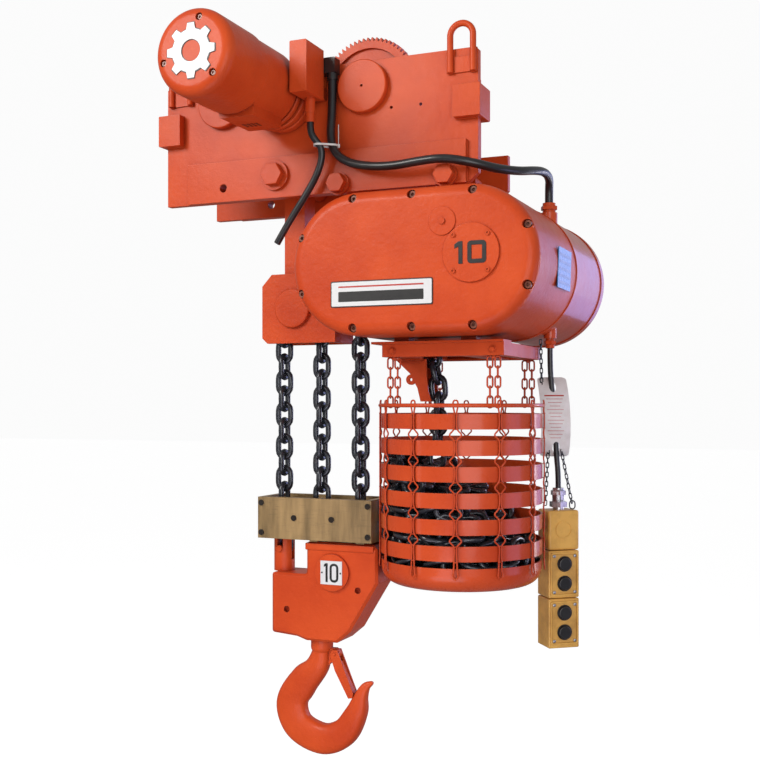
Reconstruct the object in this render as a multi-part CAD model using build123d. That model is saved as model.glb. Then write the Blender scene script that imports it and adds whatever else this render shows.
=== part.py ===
"""Electric chain hoist of ten tonnes on a motor-driven beam trolley.

Frame: +X along the beam, +Y away from the gear side, +Z up. The origin is at the height of the
wheel treads, midway between the wheels, on the beam's centre plane. All sizes are millimetres.
"""
from build123d import *
import math
import os

os.makedirs("parts", exist_ok=True)

# ---------------------------------------------------------------- trolley
WHEEL_X = 212.5          # wheel axles from mid wheelbase
TREAD_R = 100.0
FLANGE_R = 118.0
TREAD_Y = (44.0, 84.0)   # tread, from the beam's centre plane
FLANGE_Y = (84.0, 96.0)
GEAR_Y = (96.0, 118.0)   # gear rim of the driven wheels
AXLE_R = 25.0
PLATE_Y = (120.0, 140.0)
REAR_STEP = 82.0         # the rear plate's ends are cut down to this height
REAR_STEP_Z = -50.0
LOAD_Y = (140.0, 152.0)
PLATE_X = (-391.0, 522.0)
PLATE_Z = (-170.0, 168.0)
LOAD_X = (-318.0, 493.0)
LOAD_Z = (-170.0, -61.0)
BOSS_R = 68.0
BOSS_Y = (140.0, 160.0)
EYE_ROD_R = 8.0          # lifting eyes: a bent rod welded to the front plate
EYE_BEND_R = 30.0
EYE_BEND_Z = 198.0
EYE_FOOT = 107.0
TIE_HOLE = (-204.0, -133.0)
TIE_HOLE_R = 11.5
SMALL_HOLES = ((288.0, 40.0), (369.0, 40.0))
BOLTS = ((-42.0, -111.0, 24.0, 27.5, 40.0),
         (146.0, -148.0, 18.0, 23.0, 30.0),
         (442.0, -149.0, 18.0, 23.0, 30.0))
MODULE = 4.0
WHEEL_TEETH = 66
PINION_TEETH = 41
PINION = (0.0, TREAD_R - math.sqrt((MODULE * (WHEEL_TEETH + PINION_TEETH) / 2) ** 2 - WHEEL_X ** 2))
PINION_SHAFT_R = 15.0
FIT = 0.05               # radial clearance of running fits

# ---------------------------------------------------------------- trolley motor
MOTOR = (-41.0, 102.0)
COWL_R = 105.0
BODY_R = 101.0
COWL_Y = (-566.0, -386.0)
COWL_ROUND = 26.0
COWL_SCREW_R = 80.0
BODY_Y = (-386.0, -212.0)
SMALL_MODULE = 2 * math.dist(MOTOR, PINION) / 70.0
SMALL_TEETH = (10, 60)
GEARBOX_RINGS = ((-36.0, 98.0, 96.0, -212.0, -196.0), (-28.0, 93.0, 92.0, -190.0, -174.0),
                 (-20.0, 88.0, 86.0, -166.0, -140.0))
GEARBOX = (-20.0, 88.0)
GEARBOX_R = 80.0

# ---------------------------------------------------------------- hoist body
END_R = 177.0
LEFT_C = 257.0           # centres of the obround's two ends
RIGHT_C = 539.0
HOIST_Z = -377.0
COVER_Y = (-300.0, -160.0)
FRAME_Y = (-160.0, 80.0)
HOUSING_Y = (80.0, 410.0)
BELL_Y = (410.0, 470.0)
CONTROL_Y = (80.0, 250.0)
WALL = 10.0
IDLER = (-36.8, -460.0)
IDLER_HOUSING_Y = 60.0
LIFT = (198.4, -370.0)
SCREW_X = (249.0, 404.0, 558.0)
SIDE_SCREW_R = 166.0
INSPECTION = (556.0, -367.0)
INSPECTION_R = 70.0
PLUG_R = 34.0
PLUG = (484.0, -289.0)

# ---------------------------------------------------------------- load chain
WIRE_R = 7.75
BEND_R = 19.25
LINK_HALF = 11.75        # half of the link's straight side
PITCH = 45.0
POCKET_R = PITCH / (2 * math.sin(math.pi / 8))
FALLS = (IDLER[0] - POCKET_R, IDLER[0] + POCKET_R, LIFT[0] - POCKET_R)
SLACK_X = LIFT[0] + POCKET_R
SPLIT_Z = -1000.0        # links above stay with the hoist, links below travel with the block
SHEAVE = ((FALLS[1] + FALLS[2]) / 2, IDLER[1] - 16 * PITCH)

# ---------------------------------------------------------------- hoist gears
STAGE1_Y = (-260.0, -235.0)
STAGE2_Y = (-225.0, -195.0)
MOTOR_PINION_TEETH = 16
SECOND_TEETH = 52
SECOND_PINION_TEETH = 18
IDLER_GEAR_TEETH = 19
BULL_TEETH = 48
ROTOR_AXIS = (RIGHT_C, HOIST_Z)
SECOND_AXIS = (RIGHT_C - MODULE * (MOTOR_PINION_TEETH + SECOND_TEETH) / 2, HOIST_Z)
LIFT_SHAFT_R = 20.0

# ---------------------------------------------------------------- bottom block and hook
BLOCK_Y = 55.0
BLOCK_TOP = -1100.0
BLOCK_FOOT = -1372.0
ANCHOR_R = 29.0
ANCHOR_Z = (-1190.0, -1095.0)
BOARD_BOLTS = ((-130.0, -1078.0), (-130.0, -996.0), (192.0, -1078.0), (192.0, -996.0), (-29.0, -1035.0),
               (85.0, -1035.0))
HOOK_X = 22.0
SHANK_R = 25.0
LATCH_PIVOT = (66.0, -1412.0)

# ---------------------------------------------------------------- chain container
CAN = (430.0, 0.0)
CAN_R = 212.0
BAND_T = 4.0
BAND_TOP = -747.0
BAND_H = 38.0
BAND_PITCH = 65.0
BANDS = 6
RING_Z = -726.0
PAN_Z = (-1190.0, -1127.0)
PAN_ROUND = 44.0
HEAP_R = 202.0           # the stored chain slopes down from the chute's side
HEAP_HIGH = -802.0
HEAP_LOW = -1120.0
HEAP_CRUST = 32.0        # the pile is a shell, so that its steel weighs what the loose chain does
HANGERS = ((303.0, -158.0), (568.0, -158.0), (303.0, 158.0), (568.0, 158.0))
FRAME_BAR_Z = (-603.0, -570.0)

# ---------------------------------------------------------------- pendant
TOP_GLAND = (638.0, 110.0)
LOW_GLAND = (628.0, 160.0)
PENDANT = (648.0, 170.0)
PENDANT_YAW = 38.0
PENDANT_W = 88.0
PENDANT_D = 76.0
PENDANT_Z = (-1374.0, -1007.0)
BUTTON_Z = (-1149.0, -1201.0, -1279.0, -1331.0)
BUTTON_R = 17.5

MAIN_D = 22.0
TIE = (121.5, -181.7, -54.0)     # cable tie round the two upper cables
TIE_SPAN = 35.0
TIE_TURN = 37.0
SUPPLY_D = 18.0
PENDANT_D_CORD = 15.0


# ================================================================ helpers
def cyl_y(x, z, y0, y1, r):
    return Pos(x, (y0 + y1) / 2, z) * Rot(90, 0, 0) * Cylinder(r, abs(y1 - y0))


def cyl_z(x, y, z0, z1, r):
    return Pos(x, y, (z0 + z1) / 2) * Cylinder(r, abs(z1 - z0))


def block(x0, x1, y0, y1, z0, z1):
    return Pos((x0 + x1) / 2, (y0 + y1) / 2, (z0 + z1) / 2) * Box(abs(x1 - x0), abs(y1 - y0), abs(z1 - z0))


def slab(points, y0, y1):
    """A plate in the XZ plane between two Y planes."""
    face = Plane.XZ.offset(-y1) * Polygon(*points, align=None)
    return extrude(face, amount=y1 - y0, dir=(0, -1, 0))


def hexagon(x, z, y0, y1, flats):
    face = Plane.XZ.offset(-y1) * Pos(x, z) * RegularPolygon(flats / 2, 6, major_radius=False)
    return extrude(face, amount=y1 - y0, dir=(0, -1, 0))


def obround(y0, y1, inset=0.0):
    """The hoist's body section: two half rounds joined by flats."""
    r = END_R - inset
    middle = block(LEFT_C, RIGHT_C, y0, y1, HOIST_Z - r, HOIST_Z + r)
    return middle + cyl_y(LEFT_C, HOIST_Z, y0, y1, r) + cyl_y(RIGHT_C, HOIST_Z, y0, y1, r)


def mirror_y(shape):
    return mirror(shape, Plane.XZ)


def involute(angle):
    return math.tan(angle) - angle


def gear(x, z, y0, y1, module, teeth, phase=0.0, backlash=0.35, bore=0.0):
    """A spur gear in the XZ plane. One tooth's centre points at the phase angle."""
    pitch_r = module * teeth / 2
    base_r = pitch_r * math.cos(math.radians(20))
    radii = (pitch_r - 1.25 * module, pitch_r - 0.5 * module, pitch_r, pitch_r + 0.5 * module, pitch_r + module)
    half = []
    for r in radii:
        pressure = math.acos(min(1.0, base_r / r))
        width = math.pi / (2 * teeth) - backlash / pitch_r + involute(math.radians(20)) - involute(pressure)
        half.append(width)
    points = []
    for tooth in range(teeth):
        centre = phase + 2 * math.pi * tooth / teeth
        for r, w in zip(radii, half):
            points.append((x + r * math.cos(centre - w), z + r * math.sin(centre - w)))
        for r, w in zip(reversed(radii), reversed(half)):
            points.append((x + r * math.cos(centre + w), z + r * math.sin(centre + w)))
    body = slab(points, y0, y1)
    if bore:
        body -= cyl_y(x, z, y0 - 1, y1 + 1, bore)
    return body


def mesh_phase(a, b, teeth_a, teeth_b, phase_a):
    """The phase that puts gear b in mesh with gear a."""
    line = math.atan2(b[1] - a[1], b[0] - a[0])
    return line + math.pi - teeth_a / teeth_b * (phase_a - line) - math.pi / teeth_b


def chain_link(wire, bend, half):
    """A link with its long side along Z, lying in the XZ plane."""
    link = Pos(bend, 0, 0) * Cylinder(wire, 2 * half)
    link += Pos(-bend, 0, 0) * Cylinder(wire, 2 * half)
    ring = Rot(90, 0, 0) * Torus(bend, wire)
    big = 4 * (bend + wire)
    link += Pos(0, 0, half) * (ring & Pos(0, 0, big / 2) * Box(big, big, big))
    link += Pos(0, 0, -half) * (ring & Pos(0, 0, -big / 2) * Box(big, big, big))
    return link


def hollow_cyl_y(x, z, y0, y1, r_out, r_in):
    return cyl_y(x, z, y0, y1, r_out) - cyl_y(x, z, y0 - 1, y1 + 1, r_in)


def cord(points, diameter, name):
    """A free cord: straight runs joined by tangent arcs as large as the runs allow."""
    points = [Vector(*p) for p in points]
    radii = []
    for before, here, after in zip(points, points[1:], points[2:]):
        turn = math.radians((here - before).get_angle(after - here))
        run = min((here - before).length, (after - here).length)
        radii.append(0.45 * run / math.tan(turn / 2))
    path = FilletPolyline(*points, radius=radii)
    section = Plane(origin=points[0], z_dir=points[1] - points[0]) * Circle(diameter / 2)
    tube = sweep(section, path=path)
    area = math.pi * diameter ** 2 / 4
    print(name, "length", round(path.length), "radii", [round(r) for r in radii],
          "volume ratio", round(tube.volume / (area * path.length), 4))
    return tube


nodes = {}


def save(name, *shapes):
    """Writes one node, in which several shapes stay separate solids."""
    solids = []
    for shape in shapes:
        solids += shape.solids()
    nodes[name] = solids
    export_step(Compound(children=solids) if len(solids) > 1 else solids[0], f"parts/{name}.step")


# ================================================================ trolley
def wheel_gear_phase(side):
    axle = (side * WHEEL_X, TREAD_R)
    return mesh_phase(PINION, axle, PINION_TEETH, WHEEL_TEETH, 0.0)


def side_plate():
    """The front plate, between y = -140 and -120."""
    x0, x1 = PLATE_X
    z0, z1 = PLATE_Z
    outline = [(x0, z0), (x1 - 29, z0), (x1, z0 + 25), (x1, z1 - 6), (x1 - 6, z1),
               (x0 + 12, z1), (x0, z1 - 12)]
    plate = slab(outline, -PLATE_Y[1], -PLATE_Y[0])
    for side in (-1, 1):
        plate -= cyl_y(side * WHEEL_X, TREAD_R, -141, -119, AXLE_R)
    for x, z, shank, _, _ in BOLTS:
        plate -= cyl_y(x, z, -141, -119, shank)
    for x, z in SMALL_HOLES:
        plate -= cyl_y(x, z, -141, -119, 4)
    plate -= cyl_y(*TIE_HOLE, -141, -119, TIE_HOLE_R)
    return plate


def make_plates():
    front = side_plate() - cyl_y(*PINION, -141, -119, PINION_SHAFT_R + FIT)
    save("front_side_plate", front)
    rear = mirror_y(side_plate())
    for x0, x1 in ((PLATE_X[0] - 1, PLATE_X[0] + REAR_STEP), (PLATE_X[1] - REAR_STEP, PLATE_X[1] + 1)):
        rear -= block(x0, x1, PLATE_Y[0] - 1, PLATE_Y[1] + 1, REAR_STEP_Z, PLATE_Z[1] + 1)
    save("rear_side_plate", rear)
    load = block(*LOAD_X, -LOAD_Y[1], -LOAD_Y[0], *LOAD_Z)
    for x, z, shank, _, _ in BOLTS:
        load -= cyl_y(x, z, -153, -139, shank)
    load -= cyl_y(*TIE_HOLE, -153, -139, TIE_HOLE_R)
    save("load_plates", load, mirror_y(load))


def make_trolley_fixings():
    ends = []
    for x0, x1, z0, z1 in ((-405, -336, -5, 80), (462, 534, -8, 72)):
        stop = fillet(block(x0, x1, -165, -80, z0, z1).edges().filter_by(Axis.Y), 3)
        stop -= block(max(x0, PLATE_X[0]), min(x1, PLATE_X[1]), -PLATE_Y[1], -PLATE_Y[0], z0 - 1, z1 + 1)
        stop -= cyl_y(-WHEEL_X, TREAD_R, -PLATE_Y[0] - 1, -79, MODULE * WHEEL_TEETH / 2 + 8)
        ends.append(stop)
    save("end_stop_blocks", *ends)
    eyes = []
    for x in (-343.0, 481.0):
        y = -PLATE_Y[1] - EYE_ROD_R
        legs = cyl_z(x - EYE_BEND_R, y, EYE_FOOT, EYE_BEND_Z, EYE_ROD_R)
        legs += cyl_z(x + EYE_BEND_R, y, EYE_FOOT, EYE_BEND_Z, EYE_ROD_R)
        top = Pos(x, y, EYE_BEND_Z) * Rot(90, 0, 0) * Torus(EYE_BEND_R, EYE_ROD_R)
        arch = top & block(x - 50, x + 50, y - 20, y + 20, EYE_BEND_Z, EYE_BEND_Z + 50)
        saddle = block(x - EYE_BEND_R, x + EYE_BEND_R, -PLATE_Y[1] - 4, -PLATE_Y[1], EYE_FOOT, EYE_FOOT + 40)
        eyes.append(legs + arch + saddle)
    save("lifting_eyes", *eyes)
    bolts = []
    for x, z, shank, half_flats, boss in BOLTS:
        bolt = cyl_y(x, z, -152, 152, shank)
        bolt += cyl_y(x, z, -162, -152, boss) + cyl_y(x, z, 152, 162, boss)
        head = hexagon(x, z, -182, -162, 2 * half_flats)
        bolt += fillet(head.faces().sort_by(Axis.Y)[0].edges(), 1.5)
        bolt += hexagon(x, z, 162, 180, 2 * half_flats) + cyl_y(x, z, 180, 190, shank * 0.8)
        bolts.append(bolt)
    save("suspension_bolts", *bolts)
    pins = []
    for side in (-1, 1):
        x = side * WHEEL_X
        cap = fillet(cyl_y(x, TREAD_R, -BOSS_Y[1], -BOSS_Y[0], BOSS_R).edges().sort_by(Axis.Y)[0], 3)
        pin = cap + cyl_y(x, TREAD_R, -BOSS_Y[0], -46, AXLE_R)
        pin -= cyl_y(x, TREAD_R, -BOSS_Y[1] - 1, -BOSS_Y[1] + 15, 3.5)
        pins += [pin, mirror_y(pin)]
    save("axle_pins", *pins)


def wheel(side, geared):
    """A wheel of the front row, flange outwards."""
    x = side * WHEEL_X
    body = cyl_y(x, TREAD_R, -TREAD_Y[1], -TREAD_Y[0], TREAD_R)
    body += cyl_y(x, TREAD_R, -FLANGE_Y[1], -FLANGE_Y[0], FLANGE_R)
    if geared:
        body += gear(x, TREAD_R, -GEAR_Y[1], -GEAR_Y[0], MODULE, WHEEL_TEETH, wheel_gear_phase(side))
        body -= hollow_cyl_y(x, TREAD_R, -GEAR_Y[1] - 1, -GEAR_Y[1] + 8, 108, 48)
    else:
        body += cyl_y(x, TREAD_R, -GEAR_Y[1], -GEAR_Y[0], 46)
    body -= hollow_cyl_y(x, TREAD_R, -TREAD_Y[0] - 12, -TREAD_Y[0] + 1, 84, 46)
    return body - cyl_y(x, TREAD_R, -120, -40, AXLE_R + FIT)


def make_wheels():
    for name, side in (("left", -1), ("right", 1)):
        save(f"front_{name}_wheel", wheel(side, True))
        save(f"rear_{name}_wheel", mirror_y(wheel(side, False)))
    x, z = PINION
    pinion = gear(x, z, -GEAR_Y[1], -GEAR_Y[0], MODULE, PINION_TEETH)
    pinion -= hollow_cyl_y(x, z, -GEAR_Y[1] - 1, -GEAR_Y[1] + 7, 64, 34)
    pinion += cyl_y(x, z, -176, -GEAR_Y[1] + 8, PINION_SHAFT_R)
    phase = mesh_phase(MOTOR, PINION, *SMALL_TEETH, 0.0)
    pinion += gear(x, z, -160, -146, SMALL_MODULE, SMALL_TEETH[1], phase, 0.25)
    save("drive_pinion", pinion)


# ================================================================ trolley drive
def make_trolley_drive():
    x, z = GEARBOX
    box = cyl_y(x, z, -190, -140, GEARBOX_R)
    for rx, rz, r, y0, y1 in GEARBOX_RINGS:
        ring = cyl_y(rx, rz, y0, y1, r)
        box += fillet(ring.edges(), 4)
    box += cyl_y(-32, 95, -199, -186, 84)
    box -= cyl_y(x, z, -172, -139, 70)
    box -= cyl_y(*MOTOR, -213, -171, 12)
    box -= cyl_y(*PINION, -180, -171, PINION_SHAFT_R + FIT)
    save("trolley_gearbox", box)

    mx, mz = MOTOR
    shell = cyl_y(mx, mz, *BODY_Y, BODY_R)
    shell = fillet(shell.edges().sort_by(Axis.Y)[-1], 14)
    pad = block(mx - 42, mx + 58, BODY_Y[0] + 12, BODY_Y[1] - 18, mz - BODY_R - 8, mz - 60)
    shell += fillet(pad.edges().filter_by(Axis.Y), 6)
    shell -= cyl_y(mx, mz, BODY_Y[0] - 1, BODY_Y[1] - 10, BODY_R - 8)
    shell -= cyl_y(mx, mz, BODY_Y[1] - 12, BODY_Y[1] + 1, 12 + FIT)
    save("trolley_motor_body", shell)

    cowl = cyl_y(mx, mz, *COWL_Y, COWL_R)
    cowl = fillet(cowl.edges().sort_by(Axis.Y)[0], COWL_ROUND)
    cowl = fillet(cowl.edges().sort_by(Axis.Y)[-1], 2)
    hollow = cyl_y(mx, mz, COWL_Y[0] + 18, COWL_Y[1] + 1, COWL_R - 7)
    cowl -= fillet(hollow.edges().sort_by(Axis.Y)[0], COWL_ROUND - 8)
    for turn in (75, 195, 315):
        px = mx + COWL_SCREW_R * math.cos(math.radians(turn))
        pz = mz + COWL_SCREW_R * math.sin(math.radians(turn))
        cowl -= cyl_y(px, pz, COWL_Y[0] - 1, COWL_Y[0] + 10, 9)
    save("trolley_motor_cowl", cowl)

    rotor = gear(mx, mz, -164.5, -144, SMALL_MODULE, SMALL_TEETH[0], 0.0, 0.25)
    rotor += cyl_y(mx, mz, -196, -164.5, 12)
    rotor += cyl_y(mx, mz, -500, -196, 12)
    rotor += cyl_y(mx, mz, -370, -240, 52)
    rotor += cyl_y(mx, mz, -520, -500, 40)
    for blade in range(8):
        fin = block(mx - 2, mx + 2, -522, -500, mz + 30, mz + 84)
        rotor += fin.rotate(Axis((mx, 0, mz), (0, 1, 0)), 45 * blade)
    save("trolley_rotor", rotor)


def make_junction_box():
    box = fillet(block(64, 112, -275, -175, 68, 199).edges().filter_by(Axis.Y), 3)
    box -= block(68, 108, -270, -180, 72, 195)
    bracket = block(74, 104, -175, -140, 76, 106)
    connector = fillet(block(50, 142, -172, -140.0, 140, 180).edges().filter_by(Axis.Y), 2)
    save("junction_box", box, bracket)
    glands = [connector]
    glands.append(cyl_z(128, -156, 124, 140, 14))
    glands.append(cyl_z(88, -205, 30, 68, 13) + cyl_z(88, -205, 6, 30, 11.5))
    top = cyl_z(*TOP_GLAND, -216, -190, 17) + hex_z(*TOP_GLAND, -208, -198, 38)
    low = cyl_z(*LOW_GLAND, -572, -546, 12) + hex_z(*LOW_GLAND, -562, -552, 28)
    pendant = cyl_z(*PENDANT, PENDANT_Z[1], -949, 15)
    pendant += hex_z(*PENDANT, -1000, -986, 42) + hex_z(*PENDANT, -968, -956, 36)
    save("cable_glands", *glands, top, low, pendant)


def hex_z(x, y, z0, z1, flats):
    face = Plane.XY.offset(z0) * Pos(x, y) * RegularPolygon(flats / 2, 6, major_radius=False)
    return extrude(face, amount=z1 - z0)


# ================================================================ hoist body
def frame_openings():
    """Slots in the frame's underside where the chain passes."""
    fall = block(FALLS[2] - 36, FALLS[2] + 36, -36, 36, -570, -400)
    slack = block(SLACK_X - 36, 376, -36, 36, -570, -400)
    return fall, slack


def make_frame():
    frame = obround(*FRAME_Y)
    frame -= obround(FRAME_Y[0] + 18, FRAME_Y[1] - 18, WALL)
    idler_outline = [(90, -555), (-118, -555), (-134, -540), (-134, -396), (-104, -364), (90, -364)]
    idler_cavity = [(79, -560), (-126, -560), (-126, -398), (-104, -376), (79, -376)]
    idler_body = slab(idler_outline, -IDLER_HOUSING_Y, IDLER_HOUSING_Y)
    cap = cyl_y(*IDLER, -IDLER_HOUSING_Y - 12, -IDLER_HOUSING_Y, 53)
    idler_body += fillet(cap.edges().sort_by(Axis.Y)[0], 4)
    idler_body -= slab(idler_cavity, -46, 46)
    idler_body -= cyl_y(*IDLER, -IDLER_HOUSING_Y, 100, 22)
    shell = obround(*FRAME_Y, 0.5)
    frame += idler_body - shell
    lug = [(-78, -366), (10, -366), (-16, -330), (-16, -100), (-28, -78), (-56, -78), (-72, -100), (-78, -130)]
    frame += slab(lug, -32, 32)
    frame += slab([(-20, -366), (-20, -300), (110, -300), (110, -366)], -14, 14) - shell
    for x, z in ((146, -148), (442, -149)):
        base = -236 if x < LEFT_C else -201
        ear = [(x - 42, base - 14), (x + 42, base - 2), (x + 36, z + 12), (x + 16, z + 32), (x - 16, z + 32),
               (x - 36, z + 12)]
        frame += slab(ear, -28, 28) - obround(*FRAME_Y, 4)
    for x, z, shank, _, _ in BOLTS:
        frame -= cyl_y(x, z, -60, 60, shank + 0.3)
    for opening in frame_openings():
        frame -= opening
    for axis, r in ((ROTOR_AXIS, 16.0), (SECOND_AXIS, 15.0), (idler_gear_axis(), 12.0), (LIFT, LIFT_SHAFT_R)):
        frame -= cyl_y(*axis, FRAME_Y[0] - 1, FRAME_Y[0] + 19, r + FIT)
    frame -= cyl_y(*LIFT, FRAME_Y[1] - 19, FRAME_Y[1] - 8, LIFT_SHAFT_R + FIT)
    frame -= cyl_y(*ROTOR_AXIS, FRAME_Y[1] - 19, FRAME_Y[1] + 1, 16 + FIT)
    for x in SCREW_X:
        for z in (-218, -536):
            frame -= cyl_y(x, z, FRAME_Y[0] - 1, FRAME_Y[0] + 12, 5)
    for x, z in side_screws():
        frame -= cyl_y(x, z, FRAME_Y[0] - 1, FRAME_Y[0] + 12, 5)
    save("hoist_frame", frame)


def side_screws():
    """Cover screws on the two round ends."""
    places = []
    for centre, turns in ((LEFT_C, (155, 205)), (RIGHT_C, (-25, 25))):
        for turn in turns:
            a = math.radians(turn)
            places.append((centre + SIDE_SCREW_R * math.cos(a), HOIST_Z + SIDE_SCREW_R * math.sin(a)))
    return places


def cover_screw_places():
    places = [(x, z) for x in SCREW_X for z in (-218, -536)]
    return places + side_screws()


def make_gear_cover():
    cover = obround(*COVER_Y)
    cover = fillet(cover.edges().group_by(Axis.Y)[0], 30)
    hollow = obround(COVER_Y[0] + WALL, COVER_Y[1] + 1, WALL)
    hollow = fillet(hollow.edges().group_by(Axis.Y)[0], 22)
    cover -= hollow
    for x, z in cover_screw_places():
        cover += cyl_y(x, z, COVER_Y[0] + 14, COVER_Y[0] + 32, 14) & obround(*COVER_Y, 2)
        cover += cyl_y(x, z, COVER_Y[0] + 32, COVER_Y[1], 8.5) & obround(*COVER_Y, 1)
    for x, z in cover_screw_places():
        cover -= cyl_y(x, z, COVER_Y[0] - 1, COVER_Y[0] + 22, 11)
        cover -= cyl_y(x, z, COVER_Y[0] + 21, COVER_Y[1] + 1, 5)
    cover -= cyl_y(*INSPECTION, COVER_Y[0] - 1, COVER_Y[0] + WALL + 1, INSPECTION_R - 20)
    for axis, r in ((SECOND_AXIS, 15.0), (LIFT, LIFT_SHAFT_R)):
        cover += cyl_y(*axis, COVER_Y[0] + WALL - 1, COVER_Y[0] + 34, r + 12)
        cover -= cyl_y(*axis, COVER_Y[0] + WALL + 2, COVER_Y[0] + 35, r + FIT)
    save("gear_cover", cover)

    screws = []
    for x, z in cover_screw_places():
        head = cyl_y(x, z, COVER_Y[0] + 12, COVER_Y[0] + 22, 8.5)
        head -= hexagon(x, z, COVER_Y[0] + 11, COVER_Y[0] + 18, 8)
        screws.append(head + cyl_y(x, z, COVER_Y[0] + 22, FRAME_Y[0] + 10, 4.8))
    x, z = INSPECTION
    disc_front = COVER_Y[0] - 6
    for turn in (45, 135, 225, 315):
        px = x + (INSPECTION_R - 10) * math.cos(math.radians(turn))
        pz = z + (INSPECTION_R - 10) * math.sin(math.radians(turn))
        socket = cyl_y(px, pz, disc_front - 5, disc_front - 2, 2.5)
        screws.append(cyl_y(px, pz, disc_front - 4, disc_front, 5.5) - socket)
    save("cover_screws", *screws)
    disc = fillet(cyl_y(x, z, disc_front, COVER_Y[0], INSPECTION_R).edges().sort_by(Axis.Y)[0], 2)
    plug = fillet(cyl_y(*PLUG, COVER_Y[0] - 3, COVER_Y[0], PLUG_R).edges().sort_by(Axis.Y)[0], 1.5)
    plug += cyl_y(*PLUG, COVER_Y[0] - 7, COVER_Y[0] - 3, 8)
    name_plate = fillet(block(193, 461, COVER_Y[0] - 2, COVER_Y[0], -485, -421).edges().filter_by(Axis.Y), 3)
    save("inspection_cover", disc, plug)
    turned = block(RIGHT_C + END_R, RIGHT_C + END_R + 2, -110, 20, -430, -330)
    rating = turned.rotate(Axis((RIGHT_C, 0, HOIST_Z), (0, 1, 0)), 2)
    save("label_plates", name_plate, rating)


def idler_gear_axis():
    """Centre of the gear between the second pinion and the bull gear."""
    a = MODULE * (SECOND_PINION_TEETH + IDLER_GEAR_TEETH) / 2
    b = MODULE * (IDLER_GEAR_TEETH + BULL_TEETH) / 2
    d = math.dist(SECOND_AXIS, LIFT)
    along = (a * a - b * b + d * d) / (2 * d)
    off = math.sqrt(a * a - along * along)
    ux = (LIFT[0] - SECOND_AXIS[0]) / d
    uz = (LIFT[1] - SECOND_AXIS[1]) / d
    return (SECOND_AXIS[0] + along * ux + off * uz, SECOND_AXIS[1] + along * uz - off * ux)


def make_motor_end():
    housing = cyl_y(RIGHT_C, HOIST_Z, *HOUSING_Y, END_R)
    housing += cyl_y(RIGHT_C, HOIST_Z, 88, 100, END_R + 3)
    housing += cyl_y(RIGHT_C, HOIST_Z, 396, 410, END_R + 3)
    housing += cyl_z(*TOP_GLAND, -260, -216, 22) + cyl_z(*LOW_GLAND, -546, -500, 17)
    housing -= cyl_y(RIGHT_C, HOIST_Z, HOUSING_Y[0] - 1, HOUSING_Y[1] + 1, END_R - WALL)
    save("motor_housing", housing)
    bell = cyl_y(RIGHT_C, HOIST_Z, *BELL_Y, END_R + 3)
    bell = fillet(bell.edges().sort_by(Axis.Y)[-1], 46)
    bell -= cyl_y(RIGHT_C, HOIST_Z, BELL_Y[0] - 1, BELL_Y[1] - 12, 128)
    save("motor_end_bell", bell)
    stator = hollow_cyl_y(RIGHT_C, HOIST_Z, 160, 330, 166.5, 49)
    for y0, y1 in ((130, 160), (330, 356)):
        stator += hollow_cyl_y(RIGHT_C, HOIST_Z, y0, y1, 120, 62)
    brake = hollow_cyl_y(RIGHT_C, HOIST_Z, 384, 402, 110, 30)
    save("hoist_stator", stator, brake)
    body = block(80, 352, *CONTROL_Y, -545, -209)
    body = fillet(body.edges().filter_by(Axis.Y).group_by(Axis.X)[0], 120)
    body = fillet(body.faces().sort_by(Axis.Y)[-1].edges(), 12)
    body -= cyl_y(RIGHT_C, HOIST_Z, CONTROL_Y[0] - 1, CONTROL_Y[1] + 1, END_R + 4)
    cavity = block(92, 340, CONTROL_Y[0] - 1, CONTROL_Y[1] - 8, -533, -221)
    cavity = fillet(cavity.edges().filter_by(Axis.Y).group_by(Axis.X)[0], 108)
    body -= cavity - cyl_y(RIGHT_C, HOIST_Z, CONTROL_Y[0] - 2, CONTROL_Y[1] + 2, END_R + 14)
    save("control_cover", body)


# ================================================================ hoist drive
def make_hoist_gears():
    sx, sz = SECOND_AXIS
    ix, iz = idler_gear_axis()
    phase2 = mesh_phase(ROTOR_AXIS, SECOND_AXIS, MOTOR_PINION_TEETH, SECOND_TEETH, 0.0)
    rotor = gear(*ROTOR_AXIS, *STAGE1_Y, MODULE, MOTOR_PINION_TEETH)
    rotor += cyl_y(*ROTOR_AXIS, STAGE1_Y[1], 382, 16)
    rotor += cyl_y(*ROTOR_AXIS, 164, 326, 48)
    rotor += cyl_y(*ROTOR_AXIS, 362, 382, 60)
    save("hoist_rotor", rotor)

    second = gear(sx, sz, *STAGE1_Y, MODULE, SECOND_TEETH, phase2)
    second -= hollow_cyl_y(sx, sz, STAGE1_Y[0] - 1, STAGE1_Y[0] + 8, 88, 32)
    second += gear(sx, sz, STAGE1_Y[1], STAGE2_Y[1], MODULE, SECOND_PINION_TEETH, 0.0)
    second += cyl_y(sx, sz, -284, -148, 15)
    save("intermediate_gear", second)

    idler_phase = mesh_phase(SECOND_AXIS, (ix, iz), SECOND_PINION_TEETH, IDLER_GEAR_TEETH, 0.0)
    idler = gear(ix, iz, *STAGE2_Y, MODULE, IDLER_GEAR_TEETH, idler_phase)
    idler += cyl_y(ix, iz, STAGE2_Y[0] - 4, -148, 12)
    save("idler_gear", idler)

    bull_phase = mesh_phase((ix, iz), LIFT, IDLER_GEAR_TEETH, BULL_TEETH, idler_phase)
    lift = gear(*LIFT, *STAGE2_Y, MODULE, BULL_TEETH, bull_phase)
    lift -= hollow_cyl_y(*LIFT, STAGE2_Y[0] - 1, STAGE2_Y[0] + 9, 80, 36)
    lift += cyl_y(*LIFT, -284, 71.5, LIFT_SHAFT_R)
    lift += pocket_wheel(*LIFT, lugs=True)
    save("lift_wheel", lift)
    save("idler_sheave", pocket_wheel(*IDLER, bore=20 + FIT))
    save("idler_pin", cyl_y(*IDLER, -IDLER_HOUSING_Y, 78, 20) + cyl_y(*IDLER, IDLER_HOUSING_Y, 78, 26))


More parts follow.
